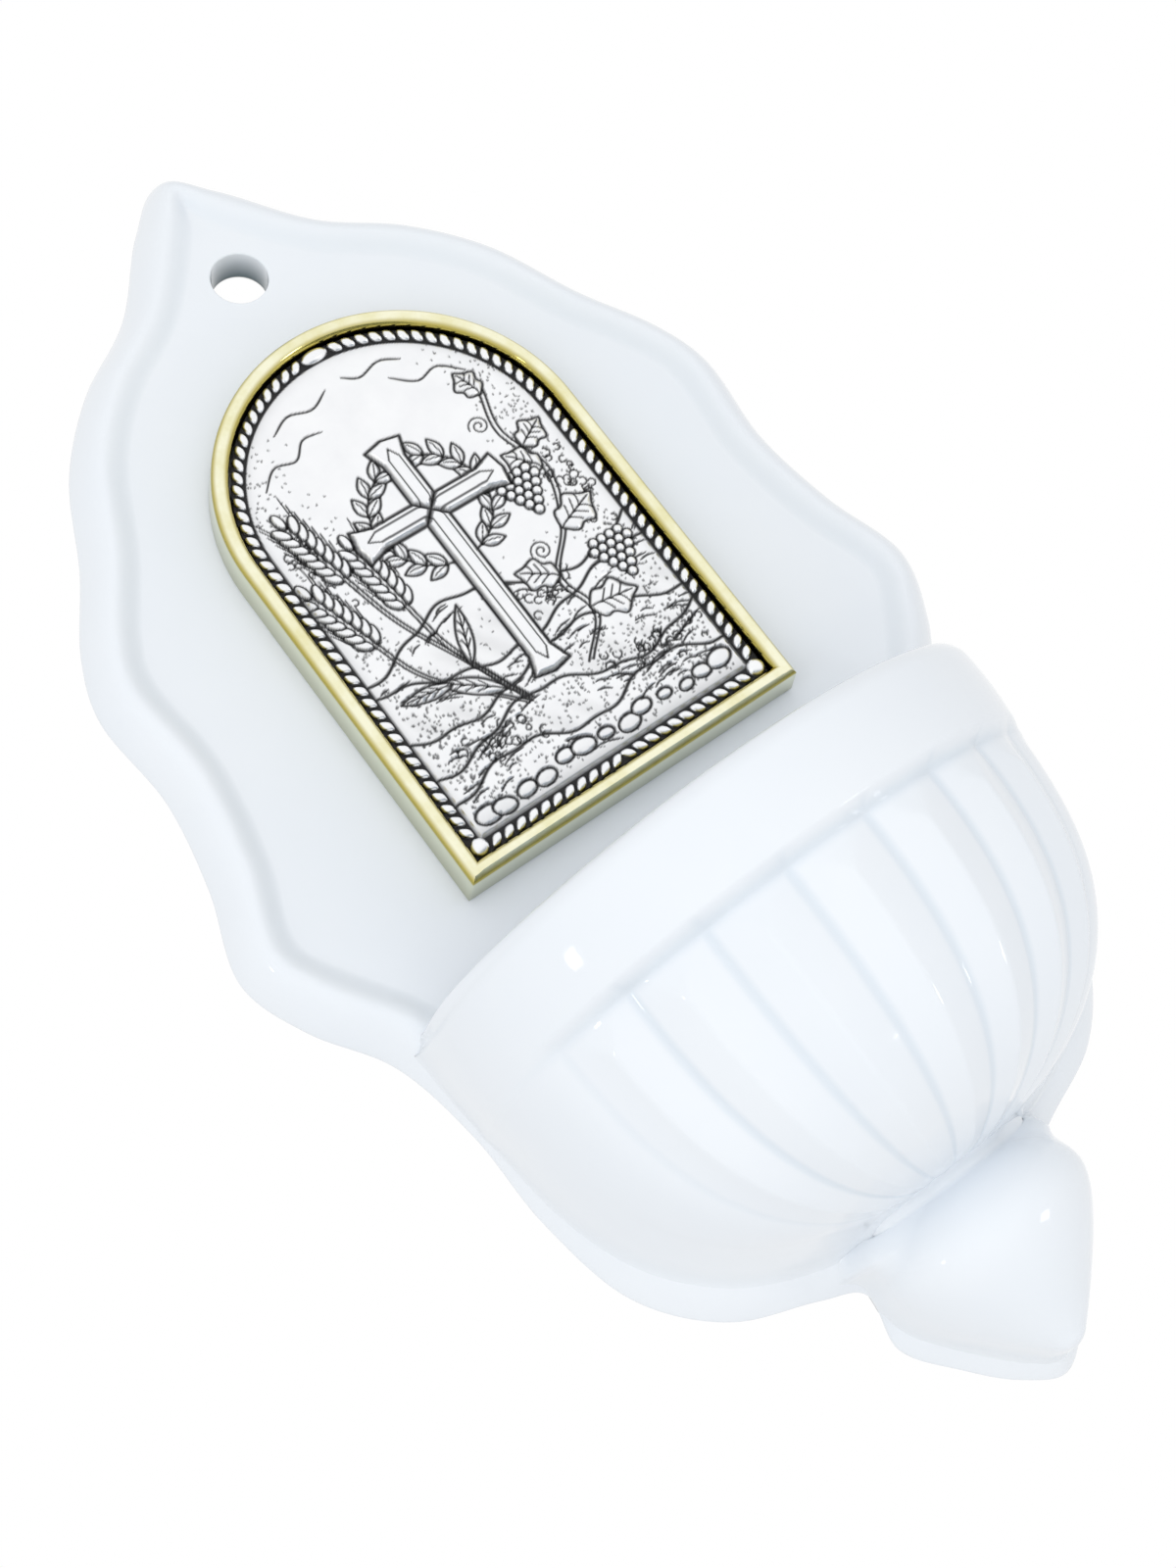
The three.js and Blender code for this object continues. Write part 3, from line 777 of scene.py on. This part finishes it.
rope = {
    "inset": 2.82,  # frame's edge to the middle of the rope
    "strandPitch": 1.44,
    "strandAlong": 0.6,  # half sizes
    "strandAcross": 0.63,
    "strandHeight": 0.62,
    "slant": 27.0,  # degrees
    "pillow": 2.8,
    "lineWidth": 0.26,  # of the black line inside the rope
    "cornerBead": 1.0,
    "cornerInset": 3.08,
    "apexBead": (1.55, 0.78),
    "beadGap": 0.12,
    "sink": 0.12,
}

relief = {
    "cell": 0.137,
    "lineWidth": 0.172,
    "lineDepth": 0.16,
    "crossFoot": 12.0,
    "crossHeight": 29.0,
    "crossSpan": 17.0,
    "crossBar": 2.7,
    "crossRise": 0.5,
    "wreathRadius": 6.2,
    "wreathLeaves": 8,
    "hillTops": ((21.6, 1.9, 0.24, 2.6), (17.2, 1.7, 0.19, 5.2), (13.2, 1.5, 0.21, 0.6), (9.6, 1.4, 0.27, 2.5),
                 (6.2, 1.0, 0.36, 4.6)),  # height, swing, pace and phase of each ridge
    "hillStep": 0.06,
    "hillShade": 0.12,
    "moss": ((-13.2, 34.5, 1.0, 2.2, 30), (13.8, 27.4, 0.9, 2.2, 28), (4.6, 19.2, 1.6, 1.0, 22),
             (-9.5, 8.4, 2.8, 1.0, 24), (10.2, 8.6, 2.8, 0.9, 28)),  # place, spread and number of curls
    "stippleSeed": 7,
}

sheetFoot = plaque["foot"] + plaque["sheetInset"]
sheetRadius = plaque["width"] / 2 - plaque["sheetInset"]
sheetSpring = plaque["height"] - plaque["width"] / 2 - plaque["sheetInset"]  # above the sheet's foot
ropeDepth = rope["inset"] - plaque["sheetInset"]


def insideArch(x, v):
    # how far a point lies inside the sheet's outline
    side = sheetRadius - np.abs(x)
    crown = sheetRadius - np.hypot(x, v - sheetSpring)
    return np.minimum(np.where(v > sheetSpring, crown, side), v)


class Sheet:
    # height field of the stamped sheet: x across, v up from its lower edge
    def __init__(self):
        cell = relief["cell"]
        self.xs = np.linspace(-sheetRadius, sheetRadius, int(2 * sheetRadius / cell) + 1)
        self.vs = np.linspace(0, sheetSpring + sheetRadius, int((sheetSpring + sheetRadius) / cell) + 1)
        self.x, self.v = np.meshgrid(self.xs, self.vs)
        self.height = np.zeros_like(self.x)
        self.patinaAndShade = np.zeros_like(self.x)

    def window(self, points, margin):
        low, high = points.min(0) - margin, points.max(0) + margin
        across = slice(np.searchsorted(self.xs, low[0]), np.searchsorted(self.xs, high[0]))
        up = slice(np.searchsorted(self.vs, low[1]), np.searchsorted(self.vs, high[1]))
        return up, across

    def distance(self, part, points):
        # to a polyline, and how far along it
        x, v = self.x[part], self.v[part]
        best, place = np.full(x.shape, 1e9), np.zeros(x.shape)
        count = len(points) - 1
        for i in range(count):
            (ax, av), (bx, bv) = points[i], points[i + 1]
            dx, dv = bx - ax, bv - av
            t = np.clip(((x - ax) * dx + (v - av) * dv) / (dx * dx + dv * dv + 1e-12), 0, 1)
            gap = np.hypot(x - ax - t * dx, v - av - t * dv)
            closer = gap < best
            best[closer], place[closer] = gap[closer], (i + t[closer]) / count
        return best, place

    def inside(self, part, points):
        x, v = self.x[part], self.v[part]
        result = np.zeros(x.shape, bool)
        for (ax, av), (bx, bv) in zip(points, np.roll(points, -1, 0)):
            if av != bv:
                crosses = ((av > v) != (bv > v)) & (x < (bx - ax) * (v - av) / (bv - av) + ax)
                result ^= crosses
        return result

    def engrave(self, points, width=1.0, depth=1.0, dark=1.0, taper=0.0):
        points = np.asarray(points, float)
        wide = relief["lineWidth"] * width
        part = self.window(points, 4 * wide)
        gap, place = self.distance(part, points)
        if taper:
            wide = wide * np.clip(np.sin(math.pi * np.clip(place, 0, 1)) ** taper + 0.25, 0.25, 1)
        line = np.exp(-(gap / wide) ** 2)
        self.height[part] -= relief["lineDepth"] * depth * line
        self.patinaAndShade[part] = np.maximum(self.patinaAndShade[part], dark * np.exp(-(gap / wide) ** 4))

    def emboss(self, points, rise, edge, width=1.0, clear=True, dome=False):
        # raised form with a darkened outline
        points = np.asarray(points, float)
        part = self.window(points, 1.0)
        closed = np.vstack([points, points[:1]])
        gap, _ = self.distance(part, closed)
        inside = self.inside(part, points)
        swell = np.sqrt(np.clip(gap / edge, 0, 1) * (2 - np.clip(gap / edge, 0, 1))) if dome else easeBetween(gap, 0, edge)
        if clear:
            self.patinaAndShade[part][inside] = 0
        self.height[part] = np.where(inside, np.maximum(self.height[part], 0) * (0.3 if clear else 1) + rise * swell,
                                     self.height[part])
        self.engrave(closed, width=width)


def curveThrough(points, steps=14):
    points = np.asarray(points, float)
    first, last = 2 * points[0] - points[1], 2 * points[-1] - points[-2]
    padded = np.vstack([first, points, last])
    line = []
    for a, b, c, d in zip(padded, padded[1:], padded[2:], padded[3:]):
        for t in np.linspace(0, 1, steps, endpoint=False):
            line.append(0.5 * (2 * b + (c - a) * t + (2 * a - 5 * b + 4 * c - d) * t ** 2
                               + (3 * b - a - 3 * c + d) * t ** 3))
    return np.vstack([line, points[-1:]])


def ovalAround(centre, along, across, angle, steps=26):
    turn = np.linspace(0, 2 * math.pi, steps, endpoint=False)
    c, s = math.cos(angle), math.sin(angle)
    x, v = along * np.cos(turn), across * np.sin(turn)
    return np.column_stack([centre[0] + x * c - v * s, centre[1] + x * s + v * c])


def leafOutline(root, length, width, angle, lobes=0):
    # pointed leaf from its root, scalloped where lobes are given
    s = np.linspace(0, 1, 30)
    half = width * np.sin(math.pi * s ** 0.85) ** 0.9
    if lobes:
        half = half * (1 + 0.22 * np.sin(lobes * 2 * math.pi * s))
    up = np.column_stack([length * s, half])
    down = np.column_stack([length * s[::-1], -half[::-1]])[1:-1]
    outline = np.vstack([up, down])
    c, si = math.cos(angle), math.sin(angle)
    return np.column_stack([root[0] + outline[:, 0] * c - outline[:, 1] * si,
                            root[1] + outline[:, 0] * si + outline[:, 1] * c])


def drawGround(sheet, seeded):
    # hills one in front of the other, each a small step with grass strokes and stipple under its ridge
    for base, swing, pace, phase in relief["hillTops"]:
        ridge = lambda x: base + swing * np.sin(pace * x + phase) + 0.25 * np.sin(1.1 * x + 3 * phase)
        xs = np.linspace(-17, 17, 160)
        below = ridge(sheet.x) - sheet.v
        sheet.height += relief["hillStep"] * easeBetween(below, -0.1, 0.35)
        sheet.patinaAndShade *= 1 - easeBetween(below, 0.0, 0.1)
        shade = easeBetween(below, 1.2, 4.5) * (0.6 + 0.4 * np.sin(1.9 * sheet.x + 1.3 * sheet.v + 2 * phase))
        sheet.patinaAndShade = np.maximum(sheet.patinaAndShade, relief["hillShade"] * shade)
        sheet.engrave(np.column_stack([xs, ridge(xs)]), width=1.15)
        for x in seeded.uniform(-16, 16, 24):
            start = ridge(x) - seeded.uniform(0.6, 2.6)
            slope = pace * swing * math.cos(pace * x + phase)
            reach = seeded.uniform(1.2, 3.2)
            sheet.engrave(curveThrough([(x, start), (x + reach / 2, start + slope * reach / 2 + 0.18),
                                        (x + reach, start + slope * reach - 0.05)], 5), width=0.75, taper=0.8)


def drawStipple(sheet, seeded, count, density):
    # small punched dots, thicker where density is high
    xs = seeded.uniform(-15.5, 15.5, count)
    vs = seeded.uniform(2.2, 50, count)
    keep = seeded.uniform(0, 1, count)
    for x, v, k in zip(xs, vs, keep):
        if k < density(x, v):
            size = 0.5 + 0.35 * k
            turn = 6.283 * (37.7 * k % 1)
            sheet.engrave([(x, v), (x + 0.12 * math.cos(turn), v + 0.12 * math.sin(turn))],
                          width=size, depth=0.7, dark=0.85)


def drawMoss(sheet, seeded, patches):
    # patches of small curls
    for x, v, wide, high, count in patches:
        for _ in range(count):
            middle = np.array([x + wide * seeded.normal(), v + high * seeded.normal()])
            turn = seeded.uniform(0, 2 * math.pi) + np.linspace(0, 4.4, 9)
            size = seeded.uniform(0.28, 0.5)
            if insideArch(*middle) > 2:
                sheet.engrave(middle + size * np.column_stack([np.cos(turn), np.sin(turn)]), width=0.62, depth=0.8)


def drawWreath(sheet, centre):
    # two branches with leaves on both sides that rise round the cross from below
    ring = relief["wreathRadius"]
    for hand in (1, -1):
        onRing = lambda turn: centre + ring * np.column_stack([hand * np.cos(turn), np.sin(turn)])
        sheet.engrave(onRing(np.radians(np.linspace(-80, 66, 60))), width=0.9)
        for turn in np.radians(np.linspace(-70, 62, relief["wreathLeaves"])):
            root = onRing(np.array([turn]))[0]
            ahead = math.atan2(math.cos(turn), -hand * math.sin(turn))
            for lean in (0.6, -0.6):
                way = np.array([math.cos(ahead + lean), math.sin(ahead + lean)])
                sheet.emboss(leafOutline(root, 2.5, 0.62, ahead + lean), 0.26, 0.5, width=0.85)
                sheet.engrave([root, root + 1.9 * way], width=0.5)


def drawCross(sheet, centre):
    half, span = relief["crossBar"] / 2, relief["crossSpan"] / 2
    foot, top = relief["crossFoot"], relief["crossFoot"] + relief["crossHeight"]
    flare = 0.75  # arms widen to their ends
    outline = []
    for tip, way in (((0, foot), (0, -1)), ((span, centre[1]), (1, 0)), ((0, top), (0, 1)), ((-span, centre[1]), (-1, 0))):
        way = np.array(way, float)
        left = np.array([way[1], -way[0]])
        tip = np.array(tip, float)
        inner = centre + way * half
        outline += [inner - left * half, tip - way * 2.2 - left * half, tip - left * (half + flare),
                    tip + way * 0.45, tip + left * (half + flare), tip - way * 2.2 + left * half, inner + left * half]
    outline = np.array(outline)
    sheet.emboss(outline, relief["crossRise"], 0.55, width=1.2)
    # inner line that follows the edge
    arm = 0.62
    for tip, way in (((0, foot + 0.9), (0, -1)), ((span - 0.9, centre[1]), (1, 0)), ((0, top - 0.9), (0, 1)),
                     ((-span + 0.9, centre[1]), (-1, 0))):
        way, tip = np.array(way, float), np.array(tip, float)
        left = np.array([way[1], -way[0]]) * arm
        sheet.engrave([centre + way * arm + left, tip - way * 1.2 + left, tip, tip - way * 1.2 - left, centre + way * arm - left],
                      width=0.6, depth=0.7)


def drawWheat(sheet, stem, tilt):
    line = curveThrough(stem, 16)
    sheet.engrave(line + (0.2, 0), width=0.8)
    sheet.engrave(line - (0.2, 0), width=0.8)
    head = line[-1]
    way = line[-1] - line[-4]
    way = way / np.linalg.norm(way)
    side = np.array([-way[1], way[0]])
    for i in range(7):
        for hand in (-1, 1):
            root = head + way * (i * 1.12) + side * hand * 0.55
            angle = math.atan2(way[1], way[0]) + hand * 0.5
            tipPoint = root + 1.7 * np.array([math.cos(angle), math.sin(angle)])
            sheet.engrave([tipPoint, tipPoint + 2.2 * (way + 0.28 * hand * side)], width=0.5, taper=0.3)
            sheet.emboss(ovalAround(root + 0.6 * np.array([math.cos(angle), math.sin(angle)]), 1.05, 0.52, angle),
                         0.32, 0.45, width=0.85, dome=True)
    end = head + way * (7 * 1.12 + 0.6)
    sheet.emboss(ovalAround(end, 1.0, 0.5, math.atan2(way[1], way[0])), 0.32, 0.45, width=0.85, dome=True)


def drawGrapes(sheet, top):
    for row, count in enumerate((4, 5, 4, 3, 2, 1)):
        for i in range(count):
            centre = (top[0] + (i - (count - 1) / 2) * 1.02, top[1] - row * 0.9)
            sheet.emboss(ovalAround(centre, 0.55, 0.55, 0, 16), 0.34, 0.5, width=0.8, dome=True)


def drawLeaf(sheet, root, length, width, angle, lobes=0):
    sheet.emboss(leafOutline(root, length, width, angle, lobes), 0.26, 0.7, width=0.95)
    way = np.array([math.cos(angle), math.sin(angle)])
    side = np.array([-way[1], way[0]])
    root = np.array(root, float)
    sheet.engrave([root, root + way * length * 0.9], width=0.7, taper=0.3)
    for s in (0.25, 0.42, 0.6):
        for hand in (-1, 1):
            start = root + way * length * s
            sheet.engrave([start, start + way * length * 0.16 + side * hand * width * 0.62], width=0.55)


def drawVine(sheet):
    stem = curveThrough([(3.6, 10.5), (7.2, 14.5), (6.4, 19.5), (10.2, 24.0), (12.6, 30.0), (11.0, 36.0), (12.2, 41.0)], 18)
    sheet.engrave(stem + (0.28, 0), width=0.9)
    sheet.engrave(stem - (0.28, 0), width=0.9)
    for root, length, width, angle, lobes in (
            ((7.0, 15.2), 5.4, 1.9, -0.15, 2), ((6.6, 19.6), 4.6, 1.6, 2.55, 2), ((9.9, 23.8), 5.2, 1.9, 0.35, 2),
            ((12.4, 30.4), 4.4, 1.5, 2.3, 2), ((12.0, 33.4), 3.9, 1.5, 0.5, 2), ((12.0, 40.6), 3.6, 1.4, 1.9, 2)):
        drawLeaf(sheet, root, length, width, angle, lobes)
    drawGrapes(sheet, (13.0, 20.6))
    drawGrapes(sheet, (9.2, 31.2))
    for start, hand in (((8.2, 21.6), -1), ((11.2, 36.4), -1)):
        turn = np.linspace(0, 3.4 * math.pi, 40)
        coil = 1.15 * (1 - turn / (4 * math.pi))
        sheet.engrave(np.column_stack([start[0] - 1.6 + hand * coil * np.cos(turn), start[1] + 1.2 + coil * np.sin(turn)]), width=0.6)


def drawStones(sheet, seeded):
    for x in np.linspace(-14.6, 14.6, 13):
        size = seeded.uniform(0.8, 1.5)
        centre = (x + seeded.uniform(-0.4, 0.4), 3.0 + seeded.uniform(-0.2, 0.9))
        sheet.emboss(ovalAround(centre, size, size * 0.68, seeded.uniform(-0.3, 0.3)), 0.28, 0.8, dome=True)


def drawClouds(sheet):
    for line in (((-12.8, 42.5), (-10.6, 44.4), (-8.2, 44.0), (-6.4, 45.6), (-4.2, 45.4)),
                 ((-8.6, 47.4), (-6.2, 48.6), (-3.6, 48.0), (-1.2, 49.2)),
                 ((12.4, 43.6), (10.0, 45.6), (7.4, 45.2), (5.0, 47.0)),
                 ((7.4, 48.2), (5.2, 49.2), (2.6, 48.6), (0.8, 49.6))):
        sheet.engrave(curveThrough(line, 10), width=0.8, taper=0.4)


def makeSheet():
    seeded = np.random.default_rng(relief["stippleSeed"])
    sheet = Sheet()
    centre = np.array([0, relief["crossFoot"] + relief["crossHeight"] - relief["crossSpan"] / 2])
    drawClouds(sheet)
    drawGround(sheet, seeded)
    drawStipple(sheet, seeded, 7000, lambda x, v: 0.6 * math.exp(-((v - 8) / 8) ** 2)
                + 0.5 * math.exp(-((abs(x) - 15) / 4) ** 2))
    drawMoss(sheet, seeded, relief["moss"])
    drawWreath(sheet, centre)
    for stem, tilt in ((((-3.6, 10.4), (-5.6, 15), (-7.4, 20), (-8.2, 25.5)), 0.1),
                       (((-4.0, 10.2), (-8.0, 14.4), (-11.4, 18.6), (-13.2, 23.6)), 0.2),
                       (((-3.9, 10.6), (-6.6, 17), (-9.8, 24), (-11.6, 31.0)), 0.15)):
        drawWheat(sheet, stem, tilt)
    for root, length, width, angle in (((-5.0, 12.6), 7.0, 0.9, 2.5), ((-6.4, 16.6), 6.4, 0.8, 1.2),
                                       ((-9.2, 15.9), 5.6, 0.75, 3.0)):
        drawLeaf(sheet, root, length, width, angle)
    drawVine(sheet)
    drawStones(sheet, seeded)
    drawCross(sheet, centre)
    # black channel under the rope, the sheet darker beside it, and painted shade darker towards the sheet's foot
    deep = insideArch(sheet.x, sheet.v)
    channel = ropeDepth + rope["strandAcross"] + rope["lineWidth"]
    inChannel = 1 - easeBetween(deep, channel - 0.06, channel + 0.1)
    sheet.patinaAndShade = np.maximum(sheet.patinaAndShade, inChannel)
    sheet.patinaAndShade = np.maximum(sheet.patinaAndShade, 0.2 * np.exp(-np.maximum(deep - channel, 0) / 0.4))
    sheet.patinaAndShade = np.maximum(sheet.patinaAndShade, 0.4 * np.exp(-np.maximum(sheet.v - channel, 0) / 1.0))
    sheet.height = sheet.height * easeBetween(deep, channel, channel + 0.3) - 0.1 * inChannel
    return sheet


def meshSheet(sheet):
    # grid cells whose middle lies inside the outline, their outer points laid on it
    x, v = sheet.x.copy(), sheet.v.copy()
    middle = insideArch((x[1:, 1:] + x[:-1, :-1]) / 2, (v[1:, 1:] + v[:-1, :-1]) / 2) > 0
    rows, cols = x.shape
    index = np.arange(rows * cols).reshape(rows, cols)
    quads = np.stack([index[:-1, :-1], index[:-1, 1:], index[1:, 1:], index[1:, :-1]], -1)[middle]
    used = np.zeros(rows * cols, int)
    np.add.at(used, quads.ravel(), 1)
    rim = ((used > 0) & (used < 4)).reshape(rows, cols)
    crown = rim & (v > sheetSpring)
    reach = np.hypot(x, v - sheetSpring)
    x[crown], v[crown] = (x * sheetRadius / reach)[crown], (sheetSpring + (v - sheetSpring) * sheetRadius / reach)[crown]
    keep = np.flatnonzero(used)
    renumber = np.full(rows * cols, -1)
    renumber[keep] = np.arange(len(keep))
    height = sheet.height.ravel()[keep]
    points = np.column_stack([x.ravel()[keep], -(plaque["sheetFront"] + height), sheetFoot + v.ravel()[keep]])
    faces = renumber[quads].tolist()
    return points, faces, sheet.patinaAndShade.ravel()[keep]


def makeRelief():
    points, faces, patinaAndShade = meshSheet(makeSheet())
    piece = makePiece("silver_relief", points, faces, silverMaterial)
    storeShare(piece, "patinaAndShade", patinaAndShade)
    work = bmesh.new()
    work.from_mesh(piece.data)
    # a thin sheet: its edge goes straight back, and a flat back closes it
    edge = bmesh.ops.extrude_edge_only(work, edges=[e for e in work.edges if e.is_boundary])
    for vert in (g for g in edge["geom"] if isinstance(g, bmesh.types.BMVert)):
        vert.co.y = -plaque["sheetBack"] * mm
    bmesh.ops.holes_fill(work, edges=[e for e in work.edges if e.is_boundary])
    bmesh.ops.recalc_face_normals(work, faces=work.faces)
    for face in work.faces:
        face.smooth = True
    work.to_mesh(piece.data)
    work.free()
    piece.data.set_sharp_from_angle(angle=math.radians(65))
    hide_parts("relief_sheet")
    return piece


makeRelief()
print("relief done")


def domePoints(along, across, height, pillow, slant, rings=7, steps=24):
    # half a cushion pushed aslant, its rim first
    turn = np.linspace(0, 2 * math.pi, steps, endpoint=False)
    x = along * np.sign(np.cos(turn)) * np.abs(np.cos(turn)) ** (2 / pillow)
    y = across * np.sign(np.sin(turn)) * np.abs(np.sin(turn)) ** (2 / pillow)
    x = x + math.tan(math.radians(slant)) * y
    rows = []
    for lift in np.linspace(0, math.pi / 2, rings + 1)[:-1]:
        narrow = math.cos(lift) ** 0.8
        rows.append(np.column_stack([x * narrow, y * narrow, np.full(steps, height * math.sin(lift))]))
    return rows, steps


def ropePath():
    # left half of the rope's middle line from the apex down to the corner and in to the middle of the foot
    radius = sheetRadius - ropeDepth
    apex = [(radius * math.cos(a), sheetSpring + radius * math.sin(a)) for a in np.linspace(math.pi / 2, math.pi, 200)]
    side = [(-radius, v) for v in np.linspace(sheetSpring, ropeDepth, 200)[1:]]
    foot = [(x, ropeDepth) for x in np.linspace(-radius, 0, 150)[1:]]
    return np.array(apex + side), np.array([side[-1]] + foot)


def spaced(path, start, end, pitch):
    # evenly spaced places on a path and its direction there
    length = np.concatenate([[0], np.cumsum(np.linalg.norm(np.diff(path, axis=0), axis=1))])
    count = max(1, round((length[-1] - start - end) / pitch))
    at = start + (np.arange(count) + 0.5) * (length[-1] - start - end) / count
    place = np.column_stack([np.interp(at, length, path[:, 0]), np.interp(at, length, path[:, 1])])
    ahead = np.column_stack([np.interp(at + 0.05, length, path[:, 0]), np.interp(at + 0.05, length, path[:, 1])])
    behind = np.column_stack([np.interp(at - 0.05, length, path[:, 0]), np.interp(at - 0.05, length, path[:, 1])])
    way = ahead - behind
    return place, way / np.linalg.norm(way, axis=1, keepdims=True)


def makeRope():
    points, faces, patinaAndShade = [], [], []

    def addBoss(centre, way, along, across, height, pillow, slant=0.0, hand=1):
        rows, steps = domePoints(along, across, height, pillow, slant)
        rows.append(np.array([[0, 0, height]]))
        start, base = len(points), plaque["sheetFront"] - rope["sink"]
        for x, y, h in np.vstack(rows):
            points.append((hand * (centre[0] + x * way[0] - y * way[1]), -(base + h),
                           sheetFoot + centre[1] + x * way[1] + y * way[0]))
            patinaAndShade.append(float(1 - easeBetween(h / height, 0.1, 0.3)))
        faces.extend(tuple(start + i for i in face) for face in ringFaces(len(rows) - 1, steps))
        crown, last = len(points) - 1, len(points) - 1 - steps
        faces.extend((last + i, last + (i + 1) % steps, crown) for i in range(steps))
        faces.append(tuple(start + i for i in reversed(range(steps))))

    side, foot = ropePath()
    bead, (apexLong, apexWide) = rope["cornerBead"], rope["apexBead"]
    fromCorner = rope["cornerInset"] - rope["inset"] + bead + rope["beadGap"]
    for path, start, end in ((side, apexLong + rope["beadGap"], fromCorner), (foot, fromCorner, 0.0)):
        for place, way in zip(*spaced(path, start, end, rope["strandPitch"])):
            for hand in (1, -1):
                addBoss(place, way, rope["strandAlong"], rope["strandAcross"], rope["strandHeight"], rope["pillow"],
                        rope["slant"], hand)
    corner = plaque["width"] / 2 - rope["cornerInset"]
    for hand in (1, -1):
        addBoss((corner, rope["cornerInset"] - plaque["sheetInset"]), (1, 0), bead, bead, 0.8, 2, 0, hand)
    addBoss((0, sheetSpring + sheetRadius - ropeDepth), (1, 0), apexLong, apexWide, 0.75, 2.2)
    piece = makePiece("silver_rope", points, faces, silverMaterial)
    storeShare(piece, "patinaAndShade", patinaAndShade)
    return piece


makeRope()
print("rope done")

# what the frame hides keeps its plain solids
for node, material in (("plaque_core", makeBoard()), ("adhesive_pad", makeTape())):
    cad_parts[node].data.materials.clear()
    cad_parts[node].data.materials.append(material)


# stage: pale floor, white surround, soft lamps and the photo's camera

studio = {
    "floorDrop": 420.0,  # mm under the stoup
    "ambient": 0.74,
    "lamps": {  # direction from the front in degrees (to the right, up), distance, width, height and radiance
        "front": (-8, 4, 560, 840, 560, 0.41),
        "side": (-40, -5, 560, 420, 420, 0.82),
        "low": (-30, -45, 560, 300, 300, 0.6),
        "leftSpot": (-72, 1, 500, 32, 34, 13.0),
        "lowSpot": (45, -47, 480, 70, 70, 6.0),
    },
    "seenInGlaze": ("leftSpot", "lowSpot"),  # the others only light
}


def studioPoint(right, up, distance):
    right, up = math.radians(right), math.radians(up)
    return Vector((math.sin(right) * math.cos(up), -math.cos(right) * math.cos(up), math.sin(up))) * distance * mm


def makeFloor():
    material, nodes, links, shader = newMaterial("floor_paint")
    noise = noiseNode(nodes, links, 30, 2)
    ramp = rampNode(nodes, links, noise.outputs["Fac"], [(0.3, (0.86, 0.86, 0.86)), (0.7, (0.9, 0.9, 0.9))])
    links.new(ramp.outputs["Color"], shader.inputs["Base Color"])
    shader.inputs["Roughness"].default_value = 0.8
    seen = addNode(nodes, "ShaderNodeLightPath")
    most = addNode(nodes, "ShaderNodeMath", operation="MAXIMUM")
    links.new(seen.outputs["Is Camera Ray"], most.inputs[0])
    links.new(seen.outputs["Is Glossy Ray"], most.inputs[1])
    white = addNode(nodes, "ShaderNodeEmission")
    mix = addNode(nodes, "ShaderNodeMixShader")
    links.new(most.outputs["Value"], mix.inputs["Fac"])
    links.new(shader.outputs["BSDF"], mix.inputs[1])
    links.new(white.outputs["Emission"], mix.inputs[2])
    links.new(mix.outputs["Shader"], nodes["Material Output"].inputs["Surface"])
    side = 3000 * mm
    level = cadBox[0].z - studio["floorDrop"] * mm
    mesh = bpy.data.meshes.new("floor")
    mesh.from_pydata([(-side, -side, level), (side, -side, level), (side, side, level), (-side, side, level)], [], [(0, 1, 2, 3)])
    mesh.materials.append(material)
    floor = bpy.data.objects.new("floor", mesh)
    scene.collection.objects.link(floor)


def makeSurround():
    world = bpy.data.worlds.new("surround")
    scene.world = world
    world.use_nodes = True
    nodes, links = world.node_tree.nodes, world.node_tree.links
    seen = addNode(nodes, "ShaderNodeLightPath")
    first = addNode(nodes, "ShaderNodeMath", operation="MAXIMUM")
    second = addNode(nodes, "ShaderNodeMath", operation="MAXIMUM")
    links.new(seen.outputs["Is Camera Ray"], first.inputs[0])
    links.new(seen.outputs["Is Glossy Ray"], first.inputs[1])
    links.new(first.outputs["Value"], second.inputs[0])
    links.new(seen.outputs["Is Transmission Ray"], second.inputs[1])
    strength = rangeNode(nodes, links, second.outputs["Value"], 0, 1, studio["ambient"], 1.0)
    links.new(strength, nodes["Background"].inputs["Strength"])
    nodes["Background"].inputs["Color"].default_value = (1, 1, 1, 1)


def makeLamp(name, right, up, distance, width, height, radiance):
    lamp = bpy.data.lights.new(name, "AREA")
    lamp.shape = "RECTANGLE"
    lamp.size, lamp.size_y = width * mm, height * mm
    lamp.energy = radiance * math.pi * lamp.size * lamp.size_y
    holder = bpy.data.objects.new(name, lamp)
    holder.location = studioPoint(right, up, distance)
    holder.rotation_euler = (-holder.location).to_track_quat("-Z", "Y").to_euler()
    holder.visible_camera = False
    holder.visible_glossy = name in studio["seenInGlaze"]
    scene.collection.objects.link(holder)


camera = {
    "place": (-72.02, -196.58, -48.11),
    "right": (0.790, -0.150, -0.594),
    "up": (0.516, -0.358, 0.778),
    "lens": 49.28,  # on a 36 mm high sensor
}


def makeCamera():
    lens = bpy.data.cameras.new("camera")
    lens.sensor_fit = "VERTICAL"
    lens.sensor_height = 36
    lens.lens = camera["lens"]
    lens.clip_start = 0.01
    right = Vector(camera["right"]).normalized()
    up = Vector(camera["up"])
    up = (up - right * up.dot(right)).normalized()
    turn = Matrix((right, up, right.cross(up))).transposed().to_4x4()
    holder = bpy.data.objects.new("camera", lens)
    holder.matrix_world = Matrix.Translation(Vector(camera["place"]) * mm) @ turn
    scene.collection.objects.link(holder)
    scene.camera = holder


makeFloor()
makeSurround()
for name, values in studio["lamps"].items():
    makeLamp(name, *values)
makeCamera()
scene.view_settings.view_transform = "Standard"
print("stage set")

bpy.context.view_layer.update()
